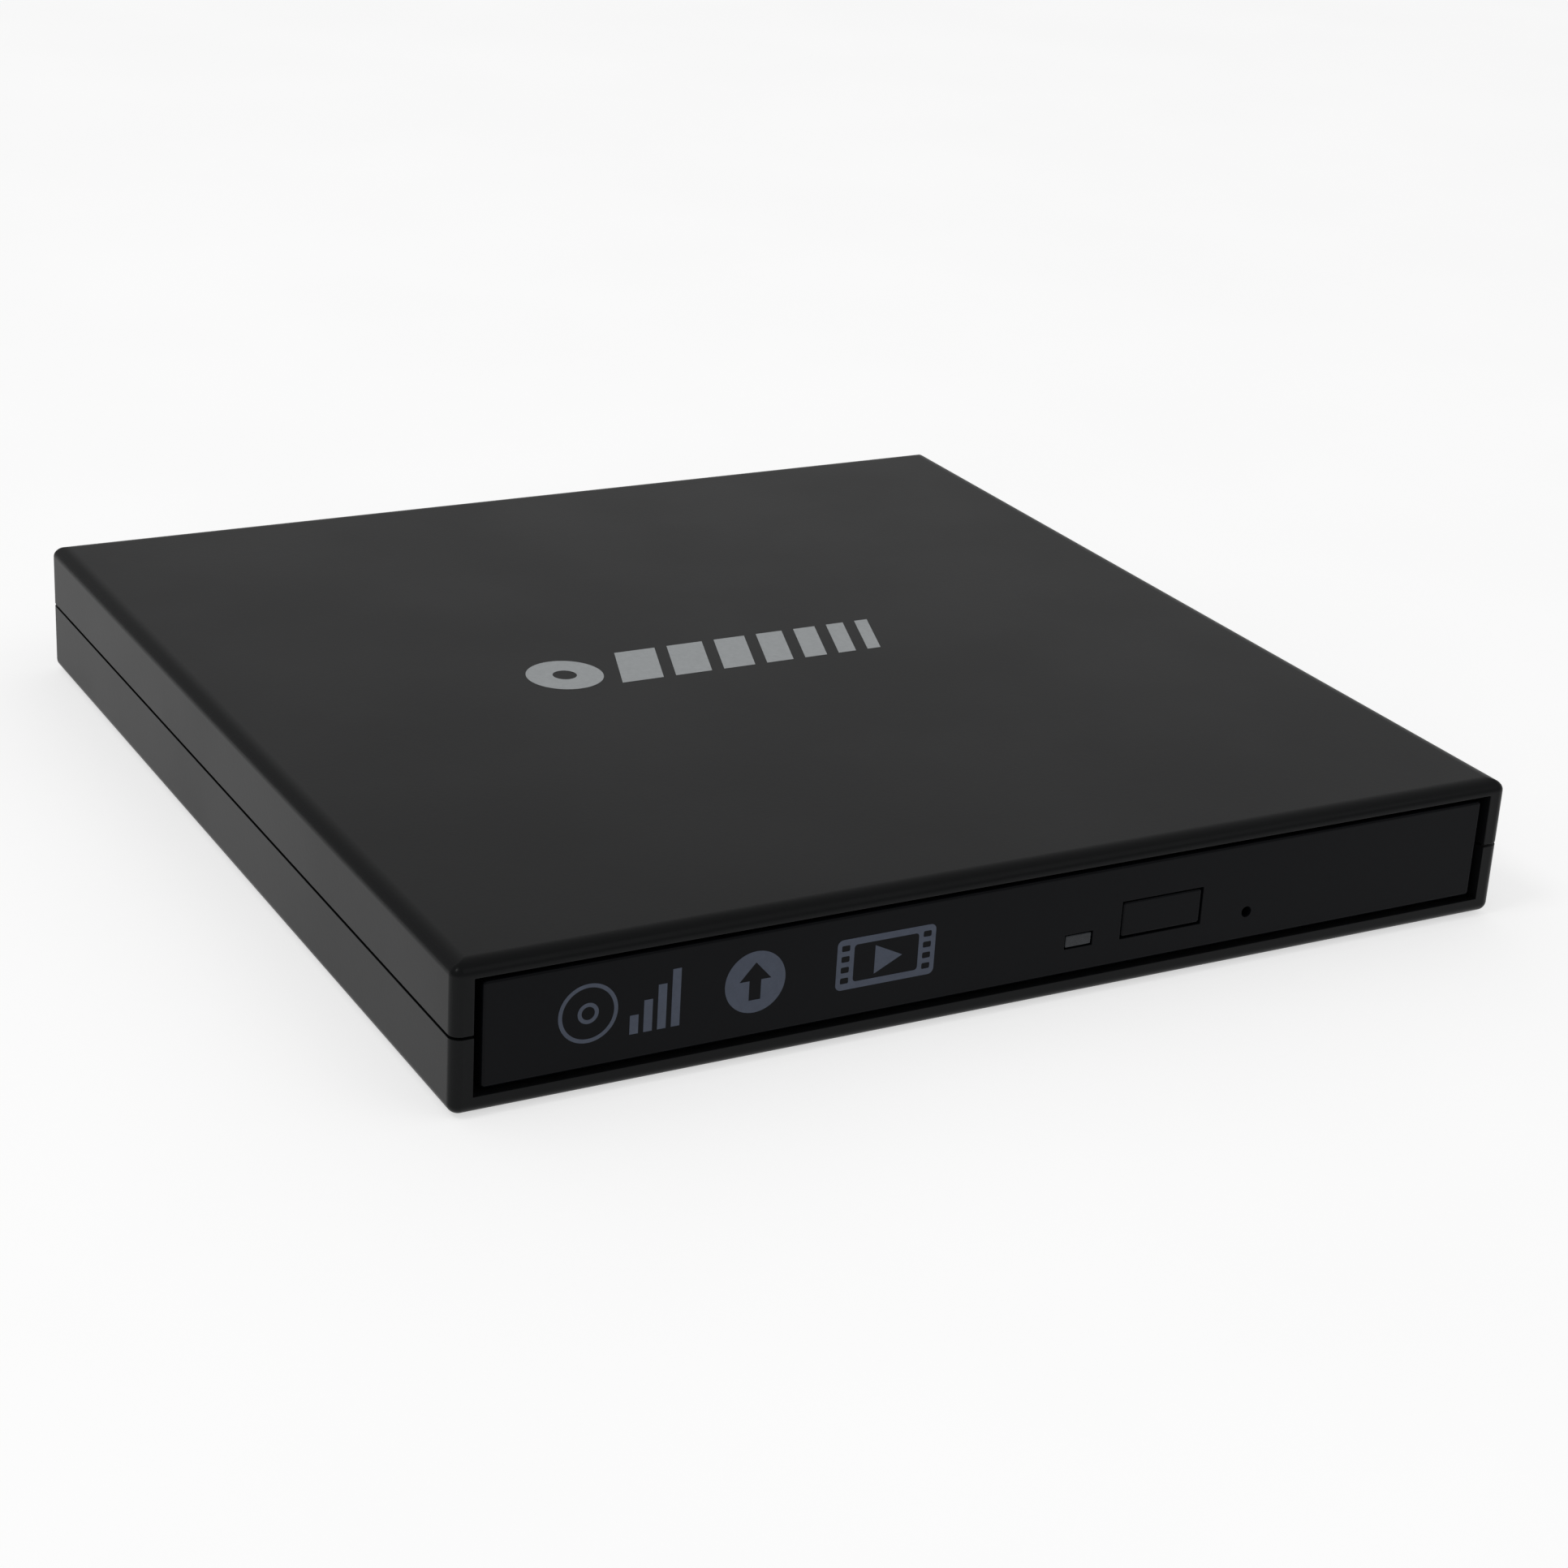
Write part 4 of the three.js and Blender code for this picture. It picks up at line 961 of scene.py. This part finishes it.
WELL_Z = 12.0
SMALL_WELL_Z = 11.4
DECK_UNDER_Z = 9.9
SKIRT_X = 57.2
SKIRT_BACK_Y = 51.4
NOTCH = (-27.1, 51.4)
POST_LANE = (49.6, 53.4)


def lens_opening(z):
    """Cutters for the opening in the tray over the spindle and the lens's travel."""
    slot = prism([(0, -19), (44, -19), (60.5, -8), (60.5, 8), (44, 19), (0, 19)], z)
    return on_traverse(slot), on_traverse(rod(15.6, "z", (z[0] - 0.1, z[1] + 0.1), (0, 0), 96))


def tray_plate():
    """The deck, with recesses for large and small discs, finger slots and the lens's opening."""
    front, back = DECK_Y
    half = DECK_X[1]
    top = DECK_Z[1]
    outline = [(-half, front), (half, front), (half, back)]
    outline += [(NOTCH[0], back), (NOTCH[0], NOTCH[1]), (-half, NOTCH[1])]
    deck = prism(outline, (DECK_UNDER_Z, top))
    profile = [(0, WELL_Z), (60.8, WELL_Z), (60.8, top - 0.5), (61.3, top + 0.01)]
    profile += [(61.3, top + 2), (0, top + 2)]
    well = turned(profile, 180, SPINDLE)
    small = rod(40.5, "z", (SMALL_WELL_Z, WELL_Z + 0.5), SPINDLE, 144)
    fingers = [rod(9, "z", (WELL_Z + 0.03, top + 1), (side * 40, SPINDLE[1] + 49), 72) for side in (-1, 1)]
    deck = cut(deck, well, small, *fingers, *lens_opening((DECK_UNDER_Z - 1, WELL_Z + 1)))
    piece("tray_plate", bevelled(deck, 0.18, 2, 45), "tray", "tray_black", ["tray"])
    ribs = []
    for angle in (20, 75, 130, 320):
        rib = prism(rounded((44, 57), (-0.35, 0.35), 0.3, 4), (WELL_Z - 0.05, WELL_Z + 0.18))
        place = Matrix.Translation((*SPINDLE, 0)) @ Matrix.Rotation(math.radians(angle), 4, "Z")
        ribs.append(moved(bevelled(rib, 0.06, 1), place))
    piece("tray_ribs", merged(*ribs), "tray", "tray_black")


def tray_skirt():
    """The walls under the deck, with their runners, stops and cut-outs."""
    wall = 1.4
    z = (DECK_Z[0], DECK_UNDER_Z - 0.01)
    front = DECK_Y[0]
    frame_walls = cut(
        box((-SKIRT_X, SKIRT_X), (front, SKIRT_BACK_Y), z),
        box((-SKIRT_X + wall, SKIRT_X - wall), (front + 1.2, SKIRT_BACK_Y - 1.2), (z[0] - 1, z[1] + 1)),
        box(POST_LANE, (SKIRT_BACK_Y - 2, SKIRT_BACK_Y + 1), (0, 8.3)),
        box((-62, -29), (43.4, SKIRT_BACK_Y + 1), (0, z[1] + 1)),
        box(inset(KEY_OPENING[0], 3), (front - 1, front + 2), (7, 9.2)),
        box(inset(LIGHT_X, -0.2), (front - 1, front + 2), inset(LIGHT_Z, -0.2)),
        rod(0.9, "y", (front - 1, front + 2), PINHOLE, 24),
        rod(1.3, "y", (SKIRT_BACK_Y - 3, SKIRT_BACK_Y + 1), (43, 7.2), 32),
    )
    stop = cut(box((40, 46), (10.4, 11.7), z), rod(1.3, "y", (9, 13), (43, 7.2), 32))
    runners = []
    for side in (-1, 1):
        across = sorted((side * SKIRT_X, side * 60.4))
        runners.append(soft_box(across, (-30, 48), (5.7, 7.3), 0.2))
    walls = bevelled(frame_walls, 0.12, 1, 45)
    piece("tray_skirt", merged(walls, bevelled(stop, 0.1, 1, 45), *runners), "tray", "tray_black")


def tray_screws():
    """Small pan-head screws that hold the traverse and its cover."""
    spots = [(-14, -19.6), (-14, 19.6), (48.5, -14.4), (48.5, 14.4)]
    for i, (u, v) in enumerate(spots):
        z = 9.6
        profile = [(0, z + 0.55), (0.8, z + 0.52), (1.25, z + 0.35), (1.35, z + 0.02), (0, z + 0.02)]
        mesh = cut(turned(profile, 40, (u, v)), *cross_recess(0.75, (z + 0.2, z + 1), (u, v)))
        piece(f"cover_screw_{i + 1}", on_traverse(mesh), "tray", "screw_black", angle=40)


def shield():
    """The steel plate under the tray, with pressed windows and stiffening ribs."""
    x, y, z = limits("tray_shield")
    outline = [(x[0], y[0]), (x[1], y[0]), (x[1], y[1]), (-28.4, y[1]), (-28.4, 43), (x[0], 43)]
    plate = prism(outline, (z[0] + 0.12, z[1]))
    deep = (z[0] - 1, z[1] + 1)
    windows = [prism(rounded((centre - 9, centre + 9), (14, 30), 2), deep) for centre in (-20, 20)]
    plate = bevelled(cut(plate, *windows), 0.06, 1, 45)
    ribs = []
    for rx, ry in (((-50, -46), (-56, 8)), ((38, 42), (-30, 44)), ((-30, 30), (-58, -54))):
        rib = soft_slab(rx, ry, (z[0], z[0] + 0.16), 1.9, bottom=(0.5, 0.12), corner_steps=6, edge_steps=3)
        ribs.append(rib)
    piece("under_shield", merged(plate, *ribs), "tray", "sheet_steel", ["tray_shield"])


def lens_cover():
    """The black plate round the lens's slot, with a raised border and a round hole for the hub."""
    z = (9.2, 9.6)
    outline = [(-17, -22), (41, -22), (62, -9), (62, 9), (41, 22), (-17, 22)]
    plate = cut(
        prism(outline, z),
        prism(rounded((17.8, 61), (-6.6, 6.6), 1.5), (9, 10)),
        rod(13.4, "z", (9, 10), (0, 0), 96),
    )
    plate = bevelled(plate, 0.08, 2, 45)
    lip = cut(
        prism(rounded((16.9, 61.6), (-7.5, 7.5), 2.2), (9.5, 9.78)),
        prism(rounded((17.8, 60.9), (-6.6, 6.6), 1.5), (9, 10)),
    )
    collar = turned([(13.4, 9.5), (14.4, 9.5), (14.4, 9.78), (13.4, 9.78), (13.4, 9.5)], 96)
    mesh = merged(plate, bevelled(lip, 0.06, 1, 45), bevelled(collar, 0.06, 1, 45))
    piece("lens_cover", on_traverse(mesh), "tray", "black_steel", ["pickup_cover"])


def hub():
    """The rotor: a cup with a seat for the disc and a boss that centres it, with three sprung claws."""
    shaft = [(0, 6.5), (0.8, 6.5), (0.8, 10.8)]
    cup = [(11.7, 10.8), (11.7, 6.6), (11.9, 6.5), (12.3, 6.5), (12.4, 6.7), (12.4, 11.1), (12.6, 11.2)]
    seat = [(14.2, 11.2), (14.4, 11.4), (14.4, 12.1), (14.3, 12.2), (8.6, 12.2), (8.5, 12.3), (7.6, 12.35)]
    boss = [(7.35, 12.6), (7.35, 13.6), (7.25, 13.85), (6.8, 14.3), (6.55, 14.4), (4.4, 14.4), (4.2, 14.25)]
    crown = [(3.4, 14.25), (3.2, 14.4), (1.9, 14.4), (1.6, 14.0), (0, 14.0)]
    mesh = turned(shaft + cup + seat + boss + crown, 128)
    slots = [spun(box((4.4, 9), (-1.2, 1.2), (12.7, 15)), 30 + 120 * i) for i in range(3)]
    mesh = cut(mesh, *slots)
    piece("hub", on_traverse(mesh), "spindle", "black_steel", ["turntable"], angle=30)
    pad = [(9, 12.22), (14.15, 12.22), (14.2, 12.3), (14.15, 12.45)]
    pad += [(14.0, 12.5), (9.2, 12.5), (9.0, 12.4), (9, 12.22)]
    piece("hub_pad", on_traverse(turned(pad, 128)), "spindle", "rubber", ["turntable_pad"], angle=30)
    outline = [(5.1, 12.9), (7.4, 12.9), (7.65, 13.1), (7.75, 13.3)]
    outline += [(7.7, 13.5), (7.35, 13.85), (7.0, 13.9), (5.1, 13.9)]
    for i in range(3):
        claw = bevelled(bar(outline, (-0.9, 0.9)), 0.08, 2, 50)
        claw = on_traverse(spun(claw, 30 + 120 * i))
        piece(f"claw_tip_{i + 1}", claw, f"claw_{i + 1}", "white_plastic", [f"clamp_claw_{i + 1}"])


def sled():
    """The die-cast pickup: its body, the wires that carry the lens, and the small parts fixed on it."""
    outline = [(14.5, -18), (25, -18), (30, -8), (30, 8), (25, 18), (14.5, 18)]
    body = cut(
        prism(outline, (5.8, 8.8)),
        prism(rounded((18.9, 28.1), (-6, 6), 0.6, 4), (6.3, 10)),
        rod(1.3, "x", (0, 40), (16, 7.2), 32),
        rod(1.3, "x", (0, 40), (-16, 7.2), 32),
        prism(rounded((16, 24), (8, 13.4), 0.8, 4), (8.2, 10)),
    )
    body = bevelled(body, 0.15, 2, 45)
    nut = soft_box((15.8, 19.4), (17.6, 19.45), (6.4, 8), 0.15)
    piece("sled_body", on_traverse(merged(body, nut)), "sled", "zinc_casting", ["pickup_sled"])
    chip = soft_box((18.6, 24), (-13.6, -8), (8.72, 9.05), 0.08, 1)
    piece("sled_chip", on_traverse(chip), "sled", "component_black")
    magnets = [soft_box((u, u + 0.8), (-3.4, 3.4), (6.35, 9.1), 0.1, 1) for u in (18.15, 27.95)]
    piece("lens_magnets", on_traverse(merged(*magnets)), "sled", "polished_steel")


def lens():
    centre = (LENS_AT, 0)
    block = soft_box((19.6, 27.4), (-4.9, 4.9), (7, 10.2), 0.35, 3)
    block = cut(block, rod(2.45, "z", (9.4, 11), centre, 64))
    section = [(2.35, 10.1), (3.1, 10.1), (3.1, 10.5), (2.9, 10.62), (2.35, 10.62), (2.35, 10.1)]
    holder = merged(block, bevelled(turned(section, 64, centre), 0.05, 1))
    piece("lens_block", on_traverse(holder), "lens", "component_black", ["lens_holder"])
    coils = [soft_box((19.25, 27.75), (y - 0.9, y + 0.9), (7.5, 9.5), 0.25) for y in (-3.7, 3.7)]
    piece("lens_coils", on_traverse(merged(*coils)), "lens", "copper_winding")
    angles = [math.pi / 2 * i / 10 for i in range(10)]
    dome = [(2.3 * math.cos(a), 10.35 + 0.85 * math.sin(a)) for a in angles]
    profile = [(0, 9.7), (2.2, 9.7), (2.3, 9.8), *dome, (0, 11.2)]
    glass = on_traverse(turned(profile, 72, centre))
    piece("lens_dome", glass, "lens", "lens_glass", ["objective_lens"], angle=60)


def drive_screw():
    """The lead screw, with a real thread of 3 mm pitch."""
    start, end, pitch = 14.3, 54.4, 3.0
    radius, groove = 1.2, 0.28
    around, per_turn = 28, 14
    steps = int((end - start) / pitch * per_turn)
    rings = []
    for i in range(steps + 1):
        u = start + (end - start) * i / steps
        ring = []
        for k in range(around):
            angle = 2 * math.pi * k / around
            phase = (u / pitch - k / around) % 1.0
            dip = max(0.0, 1 - abs(phase - 0.5) / 0.28)
            r = radius - groove * min(1.0, dip * 1.6)
            ring.append((u, 21 + r * math.cos(angle), 7.2 + r * math.sin(angle)))
        rings.append(ring)
    thread = loft(rings)
    tip = bevelled(rod(0.6, "x", (54.3, 56.5), (21, 7.2), 28), 0.15, 2)
    piece("thread_screw", on_traverse(merged(thread, tip)), "screw", "brass", ["lead_screw"], angle=50)


def rails():
    for side, node, body in ((-1, "slide_rail_left", "rail_left"), (1, "slide_rail_right", "rail_right")):
        x, y, z = limits(node)
        outer, inner = (x[0], x[1]) if side < 0 else (x[1], x[0])
        s = 0.6
        web = outer - side * s
        outline = [(inner, z[0]), (outer, z[0]), (outer, z[1]), (inner, z[1])]
        outline += [(inner, z[1] - s), (web, z[1] - s), (web, z[0] + s), (inner, z[0] + s)]
        across = sorted((outer + side, web - side))
        holes = [rod(0.7, "x", across, (y[0] + 6 + 24.5 * i, middle(z)), 28) for i in range(5)]
        mesh = bevelled(cut(bar(outline, y), *holes), 0.12, 2, 50)
        piece(node + "_steel", mesh, body, "sheet_steel", [node])


def metalwork():
    """The drive's pressed and turned steel parts."""
    refined("drive_base", "sheet_steel", 0.12)
    refined("drive_cover", "sheet_steel", 0.12)
    refined("traverse_frame", "black_steel", 0.08)
    refined("spindle_base", "sheet_steel", 0.08)
    refined("sled_motor", "sheet_steel", 0.12)
    for node in ("guide_rod_main", "guide_rod_sub", "lock_post", "latch_pivot"):
        refined(node, "polished_steel", 0.15)
    refined("bridge_crystal", "sheet_steel", 0.25, 3)
    refined("bridge_capacitor", "sheet_steel", 0.2, 3)


def boards():
    for node in ("bridge_board", "drive_board", "tray_board"):
        refined(node, "board_green", 0.06, 1)


def small_parts():
    """Plastic parts and windings inside the drive."""
    for node in ("bridge_chip", "bridge_plug", "drive_connector", "eject_switch"):
        refined(node, "component_black", 0.12)
    for node in ("rail_guide_left", "rail_guide_right", "latch_lever"):
        refined(node, "white_plastic", 0.12)
    refined("status_led", "white_plastic", 0.3, 3)
    refined("ejector_rod", "grey_plastic", 0.12)
    refined("spindle_stator", "copper_winding", 0.1)
    refined("solenoid", "copper_winding", 0.15)


def ribbon_side(y, bend, centre, reach):
    """One side of the ribbon in Y and Z: a straight run, half a turn and a straight run back."""
    steps = 24
    side = [(y[1] + (bend - y[1]) * i / steps, centre - reach) for i in range(steps)]
    for i in range(steps + 1):
        angle = math.pi * i / steps
        side.append((bend - abs(reach) * math.sin(angle), centre - reach * math.cos(angle)))
    side += [(bend + (y[1] - bend) * i / steps, centre + reach) for i in range(1, steps + 1)]
    return side


def flex_ribbon():
    """The ribbon between the case and the tray: a lower run, half a turn and an upper run, made as one piece
    on no body.
    """
    x, y, z = limits("flex_cable")
    thickness = 0.16
    radius = (z[1] - z[0]) / 2
    bend = y[0] + radius
    outer = ribbon_side(y, bend, middle(z), radius)
    inner = ribbon_side(y, bend, middle(z), thickness - radius)
    count = len(outer) + len(inner)
    vertices = [(across, py, pz) for across in x for py, pz in outer + inner]
    faces = [(i, (i + 1) % count, (i + 1) % count + count, i + count) for i in range(count)]
    for i in range(len(outer) - 1):
        j = count - 1 - i
        faces.append((i, i + 1, j - 1, j))
        faces.append((j + count, j - 1 + count, i + 1 + count, i + count))
    mesh = mesh_of(vertices, faces)
    ribbon = piece("flex_ribbon", mesh, None, "flex_amber", ["flex_cable"], angle=50)
    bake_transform(ribbon)


def push_spring():
    """The ejector's spring, a coil between the tray's stop and the rod's collar."""
    x, y, _ = limits("ejector_spring")
    centre = (middle(x), 7.2)
    turns, steps = 8, 20
    count = turns * steps
    path = []
    for i in range(count + 1):
        angle = 2 * math.pi * i / steps
        along = y[0] + 0.25 + (y[1] - y[0] - 0.5) * i / count
        path.append((centre[0] + 1.75 * math.cos(angle), along, centre[1] + 1.75 * math.sin(angle)))
    spring = piece("push_spring", tube(path, 0.25, 8), None, "polished_steel", ["ejector_spring"], angle=60)
    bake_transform(spring)


# ---- Floor, light and camera ----


def floor():
    """A white floor that glows a little, so that its shadows stay faint."""
    size = 6.0
    mesh = bpy.data.meshes.new("floor")
    corners = [(-size, -size, 0), (size, -size, 0), (size, size, 0), (-size, size, 0)]
    mesh.from_pydata(corners, [], [(0, 1, 2, 3)])
    look = Look("floor", 0.9, Specular_IOR_Level=0.1, Emission_Color=(1, 1, 1, 1), Emission_Strength=0.6)
    paper = look.ranged(look.noise(60, 3, seed=1), 0, 1)
    look.color(look.mix(paper, (0.66, 0.66, 0.66, 1), (0.68, 0.68, 0.68, 1)))
    mesh.materials.append(look.material)
    made = bpy.data.objects.new("floor", mesh)
    SCENE.collection.objects.link(made)


def world(strength):
    made = bpy.data.worlds.new("studio")
    SCENE.world = made
    made.use_nodes = True
    sky = made.node_tree.nodes["Background"]
    sky.inputs["Color"].default_value = (1, 1, 1, 1)
    sky.inputs["Strength"].default_value = strength


def area_light(name, place, target, size, watts):
    data = bpy.data.lights.new(name, "AREA")
    data.shape = "RECTANGLE"
    data.size, data.size_y = size
    data.energy = watts
    made = bpy.data.objects.new(name, data)
    made.location = place
    made.rotation_euler = (Vector(target) - Vector(place)).to_track_quat("-Z", "Y").to_euler()
    SCENE.collection.objects.link(made)


def camera():
    data = bpy.data.cameras.new("camera")
    data.sensor_width = 36
    data.lens = 74.97
    data.clip_start = 0.01
    data.clip_end = 50
    made = bpy.data.objects.new("camera", data)
    made.location = (-0.18355, -0.33763, 0.16226)
    made.rotation_euler = [math.radians(a) for a in (67.114, -3.160, -28.224)]
    SCENE.collection.objects.link(made)
    SCENE.camera = made


def stage():
    floor()
    world(0.42)
    area_light("key", (-0.66, -0.1, 1.0), (0, 0, 0), (0.3, 0.3), 1.6)
    area_light("fill", (0.7, -0.9, 1.2), (0, 0, 0), (0.9, 0.9), 1.0)
    area_light("back", (1.0, 1.6, 0.75), (0, 0, 0), (1.9, 0.9), 0.95)
    camera()
    SCENE.view_settings.view_transform = "Standard"


case_top()
case_bottom()
parting_lip()
feet()
screws()
base_label()
emblem()
usb_socket()
power_jack()
front_panel()
eject_key()
light_window()
disc_print()
badge_print()
film_print()
tray_plate()
tray_skirt()
tray_screws()
shield()
lens_cover()
hub()
sled()
lens()
drive_screw()
rails()
flex_ribbon()
push_spring()
metalwork()
boards()
small_parts()
stage()
